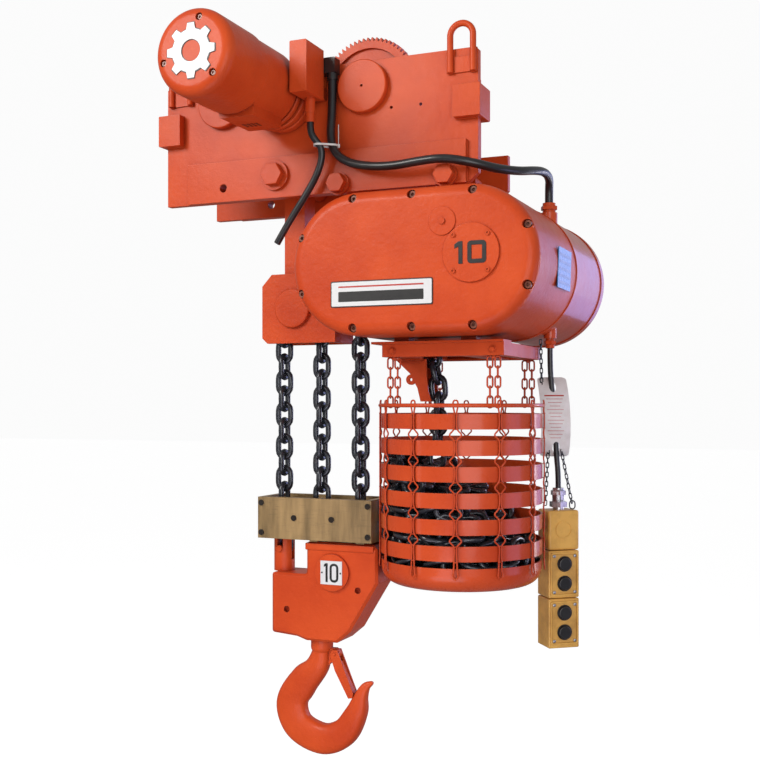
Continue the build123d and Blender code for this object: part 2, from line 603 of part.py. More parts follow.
def pocket_wheel(x, z, lugs=False, bore=0.0):
    """A chain wheel: flat links lie on its rim and upright links run in its middle groove."""
    wheel_body = cyl_y(x, z, -30, 30, 45.5)
    wheel_body += cyl_y(x, z, -38, -30, 72) + cyl_y(x, z, 30, 38, 72)
    wheel_body -= hollow_cyl_y(x, z, -10, 10, 80, 26)
    if lugs:
        for quarter in range(4):
            turn = math.radians(22.5 + 90 * quarter)
            for y0, y1 in ((-30, -12), (12, 30)):
                lug = block(x + 43, x + 60, y0, y1, z - 4, z + 4)
                wheel_body += lug.rotate(Axis((x, 0, z), (0, 1, 0)), -math.degrees(turn))
    if bore:
        wheel_body -= cyl_y(x, z, -40, 40, bore)
    return wheel_body


# ================================================================ load chain
def wrap_links(centre, upright_first, over):
    """Four links round half a chain wheel, as (x, z, tilt from vertical, upright)."""
    links = []
    mid_r = POCKET_R * math.cos(math.pi / 8)
    for k in range(4):
        turn = math.radians(157.5 - 45 * k) if over else math.radians(202.5 + 45 * k)
        x = centre[0] + mid_r * math.cos(turn)
        z = centre[1] + mid_r * math.sin(turn)
        links.append((x, 0.0, z, -math.degrees(turn), upright_first == (k % 2 == 0)))
    return links


def fall_links(x, top, count, upright_first):
    return [(x, 0.0, top - PITCH * (k + 0.5), 0.0, upright_first == (k % 2 == 0)) for k in range(count)]


SLACK_ROUTE = ((SLACK_X, -370.0), (SLACK_X, -440.0), (281.0, -492.0), (318.0, -546.0), (350.0, -602.0),
               (364.0, -660.0), (368.0, -720.0), (365.0, -790.0), (360.0, -905.0))


def slack_links():
    """Links along the slack run, spaced one pitch apart down to the stored heap."""
    path = Polyline(*[(x, 0, z) for x, z in SLACK_ROUTE])
    links = []
    count = int(path.length / PITCH)
    for k in range(count):
        here = path.position_at((k + 0.5) * PITCH / path.length)
        start = path.position_at(k * PITCH / path.length)
        end = path.position_at((k + 1) * PITCH / path.length)
        tilt = math.degrees(math.atan2(end.X - start.X, end.Z - start.Z))
        links.append((here.X, 0.0, here.Z, tilt, k % 2 == 1))
    return links


def make_chain():
    flat = Rot(0, 0, 90) * chain_link(WIRE_R, BEND_R, LINK_HALF)
    upright = chain_link(WIRE_R, BEND_R, LINK_HALF)
    falls = fall_links(FALLS[0], IDLER[1], 15, True)
    falls += fall_links(FALLS[1], IDLER[1], 16, False)
    falls += fall_links(FALLS[2], LIFT[1], 18, True)
    upper = [link for link in falls if link[2] > SPLIT_Z]
    lower = [link for link in falls if link[2] < SPLIT_Z]
    upper += wrap_links(IDLER, False, True) + wrap_links(LIFT, False, True) + slack_links()
    lower += wrap_links(SHEAVE, False, False)
    for name, links in (("load_chain_upper", upper), ("load_chain_lower", lower)):
        placed = [Pos(x, y, z) * Rot(0, tilt, 0) * (upright if is_upright else flat)
                  for x, y, z, tilt, is_upright in links]
        save(name, *placed)


# ================================================================ bottom block
def make_block():
    outline = [(0, BLOCK_TOP), (200, BLOCK_TOP), (212, -1114), (212, -1205), (130, -1340), (92, BLOCK_FOOT),
               (-2, BLOCK_FOOT), (-30, -1363), (-108, -1357), (-108, ANCHOR_Z[0]), (0, ANCHOR_Z[0])]
    body = slab(outline, -BLOCK_Y, BLOCK_Y)
    body = fillet(body.edges().filter_by(Axis.Y), 8)
    body = chamfer(body.faces().sort_by(Axis.Y)[0].edges() + body.faces().sort_by(Axis.Y)[-1].edges(), 7)
    body += fillet(block(-2, 202, -BLOCK_Y - 3, BLOCK_Y + 3, BLOCK_TOP - 22, BLOCK_TOP - 3).edges(), 3)
    x, z = SHEAVE
    body -= cyl_y(x, z, -42, 42, 86)
    body -= block(FALLS[1] - 31, FALLS[2] + 31, -42, 42, z, BLOCK_TOP + 1)
    body -= cyl_y(x, z, -BLOCK_Y - 1, BLOCK_Y + 1, 20)
    pin = cyl_y(x, z, -BLOCK_Y - 8, BLOCK_Y + 8, 20)
    pin += cyl_y(x, z, -BLOCK_Y - 8, -BLOCK_Y, 50) + cyl_y(x, z, BLOCK_Y, BLOCK_Y + 8, 50)
    body -= cyl_z(HOOK_X, 0, BLOCK_FOOT - 1, -1276, SHANK_R + FIT)
    body -= block(HOOK_X - 45, HOOK_X + 45, -BLOCK_Y + 11, BLOCK_Y - 11, -1330, -1285)
    for hx, hz in ((-60, -1290), (155, -1225)):
        body -= cyl_y(hx, hz, -BLOCK_Y - 1, -BLOCK_Y + 12, 9)
        body -= cyl_y(hx, hz, BLOCK_Y - 12, BLOCK_Y + 1, 9)
    save("block_housing", body)
    plate = block(x - 32, x + 32, -BLOCK_Y - 10, -BLOCK_Y - 8, z - 32, z + 32)
    save("sheave_pin", pin, plate)
    save("bottom_sheave", pocket_wheel(x, z, bore=20 + FIT))


def make_anchor():
    ax = FALLS[0]
    anchor = cyl_z(ax, 0, *ANCHOR_Z, ANCHOR_R)
    anchor = chamfer(anchor.edges().sort_by(Axis.Z)[-1], 3)
    anchor -= block(ax - 40, ax + 40, -9, 9, -1158, ANCHOR_Z[1] + 1)
    bottom_link = IDLER[1] - 15 * PITCH
    pin_z = bottom_link + 8.4
    anchor -= block(ax - 9, ax + 9, -40, 40, -1126, ANCHOR_Z[1] + 1)
    anchor += cyl_y(ax, pin_z, -ANCHOR_R - 5, ANCHOR_R + 5, 8.8)
    save("chain_anchor", anchor)


def make_boards():
    boards = []
    for y0, y1 in ((-72, -54), (54, 72)):
        boards.append(block(-141, 202, y0, y1, -1094, -980))
    for x0, x1 in ((-141, -124), (183, 202)):
        boards.append(block(x0, x1, -54, 54, -1094, -980))
    for bolt_x, bolt_z in BOARD_BOLTS:
        rod = cyl_y(bolt_x, bolt_z, -74, 74, 5)
        rod += cyl_y(bolt_x, bolt_z, -75, -72, 8) + cyl_y(bolt_x, bolt_z, 72, 75, 8)
        boards = [board - cyl_y(bolt_x, bolt_z, -73, 73, 5) for board in boards]
        boards.append(rod)
    for x0, x1 in ((10, 34), (150, 174)):
        boards.append(block(x0, x1, -54, -46, BLOCK_TOP, -990))
        boards.append(block(x0, x1, 46, 54, BLOCK_TOP, -990))
    save("buffer_boards", *boards)


# Stations along the hook's centreline: x, z, direction in degrees, half width, half depth.
HOOK_STATIONS = ((22, -1402, 270, 25, 25), (10, -1447, 250, 33, 27), (-32, -1496, 226, 42, 28),
                 (-70, -1560, 270, 45, 28), (-47, -1624, 315, 43, 28), (28, -1652, 0, 41.5, 28),
                 (92, -1626, 39, 38, 27), (127, -1568, 74, 31, 24), (147, -1522, 62, 19, 18),
                 (168, -1486, 58, 8, 9))


def make_hook():
    sections = []
    for x, z, turn, wide, deep in HOOK_STATIONS:
        along = Vector(math.cos(math.radians(turn)), 0, math.sin(math.radians(turn)))
        across = Vector(-along.Z, 0, along.X)
        sections.append(Plane(origin=(x, 0, z), x_dir=across, z_dir=along) * Ellipse(wide, deep))
    hook = loft(sections)
    x = HOOK_X
    hook += cyl_z(x, 0, -1403, -1276, SHANK_R)
    hook += cyl_z(x, 0, -1403, BLOCK_FOOT - 1, 31)
    hook += cyl_z(x, 0, -1329.7, -1300, 40)
    hook += slab([(40, -1446), (40, -1396), (72, -1396), (78, -1404), (78, -1420), (66, -1428)], -8, 8)
    hook -= cyl_y(*LATCH_PIVOT, -10, 10, 4)
    save("hook", hook)


def make_latch():
    px, pz = LATCH_PIVOT
    tip_x, tip_z = 114.0, -1524.0
    strip = [(px - 13, pz - 4), (px - 6, pz + 12), (px + 9, pz + 11), (px + 15, pz - 4), (tip_x + 9, tip_z + 8),
             (tip_x + 6, tip_z - 4), (tip_x - 6, tip_z - 6), (px + 2, pz - 46)]
    cheek = slab(strip, -14.5, -10.5)
    web_outline = [(px + 12, pz - 22), (px + 16, pz - 20), (tip_x + 8, tip_z + 8), (tip_x + 5, tip_z - 2)]
    web = slab(web_outline, -10.5, 10.5)
    pin = cyl_y(px, pz, -17, 17, 4 - FIT)
    latch = cheek + mirror_y(cheek) + web + pin
    save("latch", latch)


# ================================================================ chain container
def make_container_frame():
    z0, z1 = FRAME_BAR_Z
    rails = block(275, 597, -170, -140, z0, z1) - block(274, 598, -164, -139, z0 + 6, z1 + 1)
    rails += mirror_y(rails)
    cross = block(275, 303, -170, 170, z0, z1) - block(281, 304, -171, 171, z0 + 6, z1 + 1)
    rails += cross + block(569, 597, -170, 170, z0, z0 + 6) + block(591, 597, -170, 170, z0, z1)
    for px in (320, 500):
        rails += block(px - 20, px + 20, -150, -110, z0, -553.5) + block(px - 20, px + 20, 110, 150, z0, -553.5)
        rails += block(px - 20, px + 20, -164, 164, z0, z0 + 6)
    for hx, hy in HANGERS:
        rails += cyl_z(hx, hy, z0 - 8, z0, 5)
    rails += block(246, 597, -174, -104, z1, z1 + 6)
    rails -= block(282, 402, -45, 45, z0 - 10, z1 + 10)
    save("container_frame", rails - obround(*FRAME_Y))


def make_bands():
    x, y = CAN
    bands = []
    for k in range(BANDS):
        top = BAND_TOP - k * BAND_PITCH
        band = cyl_z(x, y, top - BAND_H, top, CAN_R) - cyl_z(x, y, top - BAND_H - 1, top + 1, CAN_R - BAND_T)
        bands.append(band)
    ring = Pos(x, y, RING_Z) * Torus(CAN_R + 2, 5)
    save("container_bands", *bands, ring)

    wires = []
    for k in range(12):
        turn = math.radians(30 * k + 15)
        r = CAN_R + 2.05
        wires.append(cyl_z(x + r * math.cos(turn), y + r * math.sin(turn), PAN_Z[1] + 0.5, RING_Z - 5.2, 2))
    small = chain_link(2.5, 6.5, 8.5)
    for hx, hy in HANGERS:
        for side in (-10, 10):
            for k in range(4):
                place = Pos(hx + side, hy, FRAME_BAR_Z[0] - 26 - 22 * k) * Rot(0, 0, 90 * (k % 2) + 20)
                wires.append(place * small)
    save("container_links", *wires)


def make_pan_and_chain():
    x, y = CAN
    pan = cyl_z(x, y, *PAN_Z, CAN_R - 2)
    pan = fillet(pan.edges().sort_by(Axis.Z)[0], PAN_ROUND)
    hollow = cyl_z(x, y, PAN_Z[0] + BAND_T, PAN_Z[1] + 1, CAN_R - 2 - BAND_T)
    save("container_pan", pan - fillet(hollow.edges().sort_by(Axis.Z)[0], PAN_ROUND - BAND_T))

    pile = cyl_z(x, y, PAN_Z[0] + BAND_T + 1, HEAP_HIGH, HEAP_R)
    pile = fillet(pile.edges().sort_by(Axis.Z)[0], PAN_ROUND - BAND_T)
    left = x - CAN_R
    right = x + CAN_R
    slope = [(left, PAN_Z[0]), (right, PAN_Z[0]), (right, HEAP_LOW), (left, HEAP_HIGH)]
    keep = slab(slope, -CAN_R, CAN_R)
    core = cyl_z(x, y, PAN_Z[0] + 20, HEAP_HIGH, HEAP_R - 27)
    core &= Pos(0, 0, -HEAP_CRUST) * keep
    save("stored_chain", (pile & keep) - core)


def make_chute():
    """A curved slide below the slack run, between two webs with an ear on each."""
    outer = Spline((266, -606), (300, -642), (321, -680), (330, -716))
    inner = Spline((337, -716), (328, -678), (307, -637), (275, -606))
    face = make_face([outer, Line(outer @ 1, inner @ 0), inner, Line(inner @ 1, outer @ 0)])
    floor = extrude(Plane.XZ.offset(-34) * face, amount=68, dir=(0, -1, 0))
    web = [(258, -603.5), (346, -603.5), (347, -655), (352, -690), (360, -716), (330, -716), (321, -680),
           (300, -642)]
    ear_x, ear_z = 303, -658
    side = slab(web, -40, -34) + cyl_y(ear_x, ear_z, -40, -34, 14)
    side -= cyl_y(ear_x, ear_z, -41, -33, 4)
    flange = block(258, 340, -60, -40, -608, -603.2)
    save("chain_chute", floor + side + mirror_y(side) + flange + mirror_y(flange))


# ================================================================ pendant
def pendant_place(shape):
    """Turns a shape made square-on at the origin to the pendant's own place."""
    return Pos(*PENDANT, 0) * Rot(0, 0, PENDANT_YAW) * shape


def make_pendant():
    z0, z1 = PENDANT_Z
    half = PENDANT_W / 2
    front = -PENDANT_D / 2
    upper = block(-half, half, front, -front, -1112, z1)
    upper = fillet(upper.edges(), 6)
    modules = []
    for top, bottom in ((-1114, -1240), (-1242, z0)):
        box = fillet(block(-half, half, front, -front, bottom, top).edges(), 4)
        modules.append(box - block(-half + 7, half - 7, front + 9, -front - 6, bottom + 7, top - 7))
    upper -= block(-half + 7, half - 7, front + 9, -front - 6, -1105, z1 - 7)
    for z in BUTTON_Z:
        modules = [m - cyl_y(0, z, front - 1, front + 10, BUTTON_R + 0.5) for m in modules]
    upper += cyl_y(0, -1058, front - 2, front + 1, 24) - cyl_y(0, -1058, front - 3, front + 2, 20)
    save("pendant_housing", *[pendant_place(s) for s in (upper, *modules)])

    panels = []
    for top, bottom in ((-1122, -1230), (-1250, -1362)):
        mid = (top + bottom) / 2
        panel = fillet(block(-34, 34, front - 2, front, bottom + 4, top - 2).edges().filter_by(Axis.Y), 5)
        for z in BUTTON_Z:
            panel -= cyl_y(0, z, front - 3, front + 1, BUTTON_R + 0.5)
        for sx in (-1, 1):
            for z in (mid - 48, mid + 48):
                panel += cyl_y(sx * 29.5, z, front - 3.5, front - 1, 2.5)
        panels.append(panel)
    save("pendant_panels", *[pendant_place(p) for p in panels])
    for number, z in enumerate(BUTTON_Z, 1):
        cap = fillet(cyl_y(0, z, front - 10, front - 2, BUTTON_R).edges().sort_by(Axis.Y)[0], 3)
        cap += cyl_y(0, z, front - 2.5, front + 12, BUTTON_R - 3)
        save(f"button_{number}", pendant_place(cap))


def make_pendant_hangings():
    tag = block(-40, 40, -1, 1, -865, -650) - cyl_y(0, -664, -2, 2, 5) - cyl_y(0, -850, -2, 2, 5)
    tag = fillet(tag.edges().filter_by(Axis.Y).filter_by(GeomType.LINE), 8)
    save("pendant_tag", Pos(646, 150, 0) * Rot(0, 0, 16) * tag)
    wire = chain_link(1.6, 3.4, 5.0)
    links = []
    route = [(LOW_GLAND[0] - 26, 160, -549), (603, 164, -690), (611, 169, -890), (612, 171, -950),
             (614, 172, -997)]
    path = Polyline(*route)
    count = int(path.length / 13.6)
    for k in range(count):
        here = path.position_at((k + 0.5) / count)
        links.append(Pos(here.X, here.Y, here.Z) * Rot(0, 0, 90 * (k % 2)) * wire)
    save("strain_chain", *links)


# ================================================================ cords
MAIN_ROUTE = ((128, -156, 124), (128, -156, 78), (127, -158, 26), (126, -164, -24), (142, -176, -70),
              (184, -186, -102), (244, -192, -118), (314, -196, -124), (384, -200, -118), (452, -202, -116),
              (516, -184, -128), (570, -140, -141), (610, -80, -139), (632, -20, -127), (644, 36, -120),
              (646, 84, -128), (638, 110, -154), (638, 110, -190))
SUPPLY_ROUTE = ((88, -205, 6), (88, -205, -20), (100, -198, -40), (113, -188, -60), (110, -184, -94),
                (90, -181, -136), (58, -178, -180), (22, -175, -226), (-6, -172, -264), (-28, -170, -296))
PENDANT_ROUTE = ((628, 160, -572), (628, 160, -626), (632, 164, -684), (639, 168, -744), (641, 170, -806),
                 (643, 170, -862), (648, 170, -908), (648, 170, -949))


def make_cords():
    save("main_cable", cord(MAIN_ROUTE, MAIN_D, "main_cable"))
    save("supply_cord", cord(SUPPLY_ROUTE, SUPPLY_D, "supply_cord"))
    save("pendant_cord", cord(PENDANT_ROUTE, PENDANT_D_CORD, "pendant_cord"))
    oval = SlotCenterToCenter(TIE_SPAN, MAIN_D + 9) - SlotCenterToCenter(TIE_SPAN, MAIN_D + 6)
    band = Pos(*TIE) * Rot(0, 0, TIE_TURN) * extrude(oval, amount=5)
    head = Pos(*TIE) * Rot(0, 0, TIE_TURN) * block(TIE_SPAN / 2 + 12.6, TIE_SPAN / 2 + 19, -4, 4, -2, 7)
    tail = Pos(*TIE) * Rot(0, 0, TIE_TURN) * block(TIE_SPAN / 2 + 15, TIE_SPAN / 2 + 16.5, -2.5, 2.5, 7, 58)
    save("cable_tie", band + head + tail)


make_plates()
make_trolley_fixings()
make_wheels()
make_trolley_drive()
make_junction_box()
make_frame()
make_gear_cover()
make_motor_end()
make_hoist_gears()
make_chain()
make_block()
make_anchor()
make_boards()
make_hook()
make_latch()
make_container_frame()
make_bands()
make_pan_and_chain()
make_chute()
make_pendant()
make_pendant_hangings()
make_cords()
print(len(nodes), "nodes")
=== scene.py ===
import math
import random
from math import cos, pi, radians, sin

import bmesh
import bpy
from mathutils import Matrix, Vector, noise


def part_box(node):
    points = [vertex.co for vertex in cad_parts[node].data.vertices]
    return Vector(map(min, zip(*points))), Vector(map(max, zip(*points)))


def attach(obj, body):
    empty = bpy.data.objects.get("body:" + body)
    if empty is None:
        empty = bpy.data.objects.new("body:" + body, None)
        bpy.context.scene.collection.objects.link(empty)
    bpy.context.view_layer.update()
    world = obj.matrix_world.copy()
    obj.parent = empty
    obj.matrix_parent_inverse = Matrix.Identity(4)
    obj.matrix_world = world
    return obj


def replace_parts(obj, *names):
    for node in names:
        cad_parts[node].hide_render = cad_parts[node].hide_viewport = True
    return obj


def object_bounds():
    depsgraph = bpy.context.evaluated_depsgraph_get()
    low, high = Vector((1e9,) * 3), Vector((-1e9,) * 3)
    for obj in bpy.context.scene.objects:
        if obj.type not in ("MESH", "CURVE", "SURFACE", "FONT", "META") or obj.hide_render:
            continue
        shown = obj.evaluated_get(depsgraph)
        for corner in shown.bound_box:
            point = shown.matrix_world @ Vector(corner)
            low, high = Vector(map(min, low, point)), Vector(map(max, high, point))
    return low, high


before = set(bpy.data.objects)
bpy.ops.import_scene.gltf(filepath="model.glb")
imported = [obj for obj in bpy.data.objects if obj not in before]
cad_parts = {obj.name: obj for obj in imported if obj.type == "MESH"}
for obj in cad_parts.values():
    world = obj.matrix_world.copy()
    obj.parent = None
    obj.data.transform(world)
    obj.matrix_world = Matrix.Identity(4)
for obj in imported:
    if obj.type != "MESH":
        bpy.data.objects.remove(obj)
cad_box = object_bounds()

scene = bpy.context.scene
scene.view_settings.view_transform = "Standard"


def linked(name, data):
    """A new object, linked to the scene."""
    obj = bpy.data.objects.new(name, data)
    scene.collection.objects.link(obj)
    return obj


def moved(x, y, z):
    return Matrix.Translation((x, y, z))


def turned(degrees, axis):
    return Matrix.Rotation(radians(degrees), 4, axis)


# ======== sizes, in metres
# load chain and its wheels, as (x, z) in the chain's plane y = 0
PITCH = 0.045
WIRE_R = 0.00775
BEND_R = 0.01925
LINK_HALF = 0.01175
POCKET_R = PITCH / (2 * sin(pi / 8))
IDLER = (-0.0368, -0.460)
LIFT = (0.1984, -0.370)
FALLS = (IDLER[0] - POCKET_R, IDLER[0] + POCKET_R, LIFT[0] - POCKET_R)
SLACK_X = LIFT[0] + POCKET_R
SHEAVE = ((FALLS[1] + FALLS[2]) / 2, IDLER[1] - 16 * PITCH)
SPLIT_Z = -1.0            # links above stay with the hoist, links below travel with the block
LIFT_TRAVEL = 0.27
HIDDEN_THINNER = 0.00025  # the links that only show when the block is down lie inside the upper ones

# chain container, round the upright axis at CAN
CAN = (0.430, 0.0)
CAN_R = 0.212
BAND_TOP = -0.747
BAND_H = 0.038
BAND_PITCH = 0.065
BANDS = 6
RING_Z = -0.726
PAN_TOP = -1.127
RAIL_FOOT = -0.603
HANGERS = ((0.303, -0.158), (0.568, -0.158), (0.303, 0.158), (0.568, 0.158))

# hoist cover and trolley motor: their front planes, and the axes as (x, z)
COVER_FRONT = -0.300
INSPECTION = (0.556, -0.367)
INSPECTION_R = 0.070
MOTOR = (-0.041, 0.102)
COWL_FRONT = -0.566

# pendant and tag: their own frames, turned about the upright axis
PENDANT = moved(0.648, 0.170, 0) @ turned(38, "Z")
PENDANT_FRONT = -0.038
TAG = moved(0.646, 0.150, 0) @ turned(16, "Z")

# ======== camera
camera_data = bpy.data.cameras.new("camera")
camera_data.lens = 52.1
camera_data.sensor_width = 36.0
camera_data.shift_y = 0.0303
camera = linked("camera", camera_data)
camera.location = (1.366, -2.754, -0.720)
camera.rotation_euler = (radians(90), 0, radians(23))
scene.camera = camera


# ======== materials
class Paint:
    """One procedural material, built on object coordinates."""

    def __init__(self, name, colour, roughness, metallic=0.0, coat=0.0, specular=0.5):
        self.material = bpy.data.materials.new(name)
        self.material.use_nodes = True
        self.tree = self.material.node_tree
        self.shader = self.tree.nodes["Principled BSDF"]
        self.colour = (*colour, 1)
        self.set("Base Color", self.colour)
        self.set("Roughness", roughness)
        self.set("Metallic", metallic)
        self.set("Coat Weight", coat)
        self.set("Specular IOR Level", specular)
        self.shader.inputs["Coat Roughness"].default_value = 0.12
        self.where = self.add("ShaderNodeTexCoord").outputs["Object"]
        self.normal = None

    def add(self, kind, **inputs):
        node = self.tree.nodes.new(kind)
        for key, value in inputs.items():
            self.join(value, node.inputs[key.replace("_", " ")])
        return node

    def join(self, value, socket):
        if isinstance(value, bpy.types.NodeSocket):
            self.tree.links.new(value, socket)
        else:
            socket.default_value = value

    def set(self, socket, value):
        self.join(value, self.shader.inputs[socket])

    def noise(self, scale, detail=4.0, rough=0.55, stretch=None):
        where = self.where
        if stretch:
            where = self.add("ShaderNodeMapping", Vector=where, Scale=stretch).outputs[0]
        node = self.add("ShaderNodeTexNoise", Vector=where, Scale=scale, Detail=detail, Roughness=rough)
        return node.outputs["Fac"]

    def ramp(self, value, low, high, first=(0, 0, 0), last=(1, 1, 1)):
        node = self.add("ShaderNodeValToRGB", Fac=value)
        node.color_ramp.elements[0].position = low
        node.color_ramp.elements[1].position = high
        node.color_ramp.elements[0].color = (*first, 1)
        node.color_ramp.elements[1].color = (*last, 1)
        return node.outputs["Color"]

    def patches(self, low, high, *grain):
        """A mask of noise, cut off below low and full above high."""
        return self.ramp(self.noise(*grain), low, high)

    def mix(self, share, a, b):
        node = self.add("ShaderNodeMix")
        node.data_type = "RGBA"
        self.join(share, node.inputs[0])
        self.join(a, node.inputs[6])
        self.join(b, node.inputs[7])
        return node.outputs[2]

    def math(self, what, a, b):
        node = self.add("ShaderNodeMath")
        node.operation = what
        self.join(a, node.inputs[0])
        self.join(b, node.inputs[1])
        return node.outputs[0]

    def lay(self, mask, strength, under, over):
        """Lays a colour over another one through a mask."""
        return self.mix(self.math("MULTIPLY", mask, strength), under, over)

    def range(self, value, low, high):
        """Carries 0 to 1 into low to high."""
        return self.add("ShaderNodeMapRange", Value=value, To_Min=low, To_Max=high).outputs[0]

    def bump(self, height, distance):
        node = self.add("ShaderNodeBump", Height=height, Distance=distance, Strength=1.0)
        if self.normal:
            self.tree.links.new(self.normal, node.inputs["Normal"])
        self.normal = node.outputs[0]

    def soft_edges(self, radius):
        """Rounds the shading of edges. Returns a value that grows where an edge is near."""
        node = self.add("ShaderNodeBevel", Radius=radius)
        node.samples = 4
        self.normal = node.outputs[0]
        geometry = self.add("ShaderNodeNewGeometry")
        dot = self.add("ShaderNodeVectorMath")
        dot.operation = "DOT_PRODUCT"
        self.tree.links.new(self.normal, dot.inputs[0])
        self.tree.links.new(geometry.outputs["Normal"], dot.inputs[1])
        return self.math("SUBTRACT", 1.0, dot.outputs["Value"])

    def done(self):
        if self.normal:
            self.set("Normal", self.normal)
        return self.material


def enamel(name, gloss, cast, tint=1.0, edge=0.0016, coat=0.06):
    """Orange-red enamel: thin orange peel, painted shade in corners, rubbed and chipped on edges, the rubbed
    edges lighter partly as a painted highlight.
    """
    paint = Paint(name, (0.69, 0.078, 0.021), gloss, coat=coat, specular=0.18)
    deep = (0.53 * tint, 0.052 * tint, 0.011, 1)
    clear = (0.69 * tint, 0.088 * tint, 0.018, 1)
    # lighter orange for the edges: partly rubbed paint, partly a painted highlight
    rubbed_and_lit_edge = (0.80, 0.17, 0.05, 1)
    dust = (0.76, 0.13, 0.035, 1)
    # painted shade colour for corners and crevices
    corner = (0.20, 0.012, 0.005, 1)
    chip = (0.05, 0.030, 0.026, 1)
    edges = paint.soft_edges(edge)
    colour = paint.mix(paint.patches(0.30, 0.70, 5.0, 5.0), deep, clear)
    mottle = paint.patches(0.60, 0.78, 70.0, 6.0, 0.7)
    colour = paint.lay(mottle, 0.35, colour, dust)
    specks = paint.patches(0.735, 0.76, 430.0, 2.0, 0.5)
    colour = paint.lay(specks, 0.55, colour, dust)
    # rubbed edges, lighter: partly real wear, partly a painted highlight where edges catch the light
    edge_rub_and_highlight = paint.math("MULTIPLY", paint.ramp(edges, 0.02, 0.20), paint.patches(0.42, 0.62, 60.0, 5.0, 0.7))
    colour = paint.lay(edge_rub_and_highlight, 0.7, colour, rubbed_and_lit_edge)
    chips = paint.math("MULTIPLY", paint.ramp(edges, 0.03, 0.16), paint.patches(0.66, 0.70, 130.0, 4.0, 0.6))
    colour = paint.mix(chips, colour, chip)
    # painted shade: corners and crevices darken where ambient occlusion finds them
    shade = paint.add("ShaderNodeAmbientOcclusion", Distance=0.035)
    shade.samples = 4
    colour = paint.mix(paint.ramp(shade.outputs["AO"], 0.10, 0.72), corner, colour)
    paint.set("Base Color", colour)
    paint.set("Roughness", paint.range(paint.noise(28.0, 5.0, 0.7), gloss - 0.10, gloss + 0.14))
    if cast:
        paint.bump(paint.noise(95.0, 4.0, 0.6), 0.0011 * cast)
    paint.bump(paint.noise(520.0, 2.0, 0.5), 0.00022)
    return paint.done()


def oily_steel(name, colour, roughness, metallic, grease):
    """Bare or blacked steel with a film of oil."""
    paint = Paint(name, colour, roughness, metallic, coat=0.5)
    brown = (0.050, 0.026, 0.014, 1)
    paint.soft_edges(0.0008)
    patch = paint.patches(0.50, 0.68, 38.0, 6.0, 0.7)
    tone = paint.lay(patch, grease, paint.colour, brown)
    scuff = paint.patches(0.62, 0.72, 210.0, 3.0, 0.6)
    light = tuple(min(1.0, 2.4 * c + 0.02) for c in colour)
    paint.set("Base Color", paint.lay(scuff, 0.5, tone, (*light, 1)))
    paint.set("Roughness", paint.range(paint.noise(55.0, 4.0, 0.6), roughness - 0.10, roughness + 0.16))
    paint.bump(paint.noise(300.0, 4.0, 0.6), 0.0003)
    return paint.done()


def brushed_metal(name, colour, roughness):
    """Drawn or turned metal with fine lines, dulled in patches."""
    paint = Paint(name, colour, roughness, 1.0)
    paint.soft_edges(0.0006)
    dull = tuple(0.62 * c for c in colour)
    smear = paint.patches(0.38, 0.66, 60.0, 5.0, 0.65)
    paint.set("Base Color", paint.mix(smear, (*dull, 1), paint.colour))
    lines = paint.noise(90.0, 3.0, 0.6, (1.0, 1.0, 9.0))
    paint.set("Roughness", paint.range(lines, roughness - 0.07, roughness + 0.16))
    paint.bump(lines, 0.00008)
    return paint.done()


def moulded(name, colour, roughness, grain, depth, coat, grime):
    """Moulded plastic, rubber or painted casting with a fine grain, lighter along its edges as a painted
    highlight.
    """
    paint = Paint(name, colour, roughness, coat=coat)
    edges = paint.soft_edges(0.0008)
    stain = paint.patches(0.42, 0.72, 22.0, 6.0, 0.65)
    tone = paint.lay(stain, 0.55, paint.colour, (*grime, 1))
    # painted highlight: a lighter colour laid along the edges
    light = tuple(min(1.0, 1.25 * c + 0.015) for c in colour)
    tone = paint.lay(paint.ramp(edges, 0.02, 0.25), 0.6, tone, (*light, 1))
    paint.set("Base Color", tone)
    paint.set("Roughness", paint.range(paint.noise(40.0, 4.0, 0.6), roughness - 0.08, roughness + 0.12))
    paint.bump(paint.noise(grain, 3.0, 0.6), depth)
    return paint.done()


def fibre_board(name):
    """Brown laminated cloth board, stained in upright bands, with the weave showing."""
    paint = Paint(name, (0.27, 0.155, 0.060), 0.5, coat=0.1)
    paint.soft_edges(0.0012)
    bands = paint.ramp(paint.noise(9.0, 4.0, 0.6, (2.2, 2.2, 0.35)), 0.36, 0.64, (0.17, 0.105, 0.036),
                       (0.42, 0.265, 0.105))
    scratch = paint.patches(0.54, 0.74, 60.0, 6.0, 0.75, (0.35, 0.35, 3.5))
    tone = paint.lay(scratch, 0.55, bands, (0.075, 0.045, 0.022, 1))
    weave = []
    for axis in ("X", "Z"):
        wave = paint.add("ShaderNodeTexWave", Vector=paint.where, Scale=260.0, Distortion=1.2)
        wave.bands_direction = axis
        weave.append(wave.outputs["Fac"])
    cloth = paint.math("MULTIPLY", *weave)
    tone = paint.lay(cloth, 0.18, tone, (0.36, 0.25, 0.11, 1))
    paint.set("Base Color", tone)
    paint.set("Roughness", paint.range(paint.noise(45.0), 0.34, 0.62))
    paint.bump(cloth, 0.00012)
    paint.bump(paint.noise(120.0, 5.0), 0.00035)
    return paint.done()


def printed(name, colour, roughness=0.32):
    """Smooth lacquer on a small plate, faintly scuffed."""
    paint = Paint(name, colour, roughness, coat=0.4)
    scuff = paint.patches(0.58, 0.75, 180.0, 5.0, 0.7)
    grey = tuple(0.72 * c + 0.02 for c in colour)
    paint.set("Base Color", paint.lay(scuff, 0.5, paint.colour, (*grey, 1)))
    paint.set("Roughness", paint.range(paint.noise(70.0, 4.0), roughness - 0.08, roughness + 0.14))
    paint.bump(paint.noise(240.0, 3.0), 0.00010)
    return paint.done()


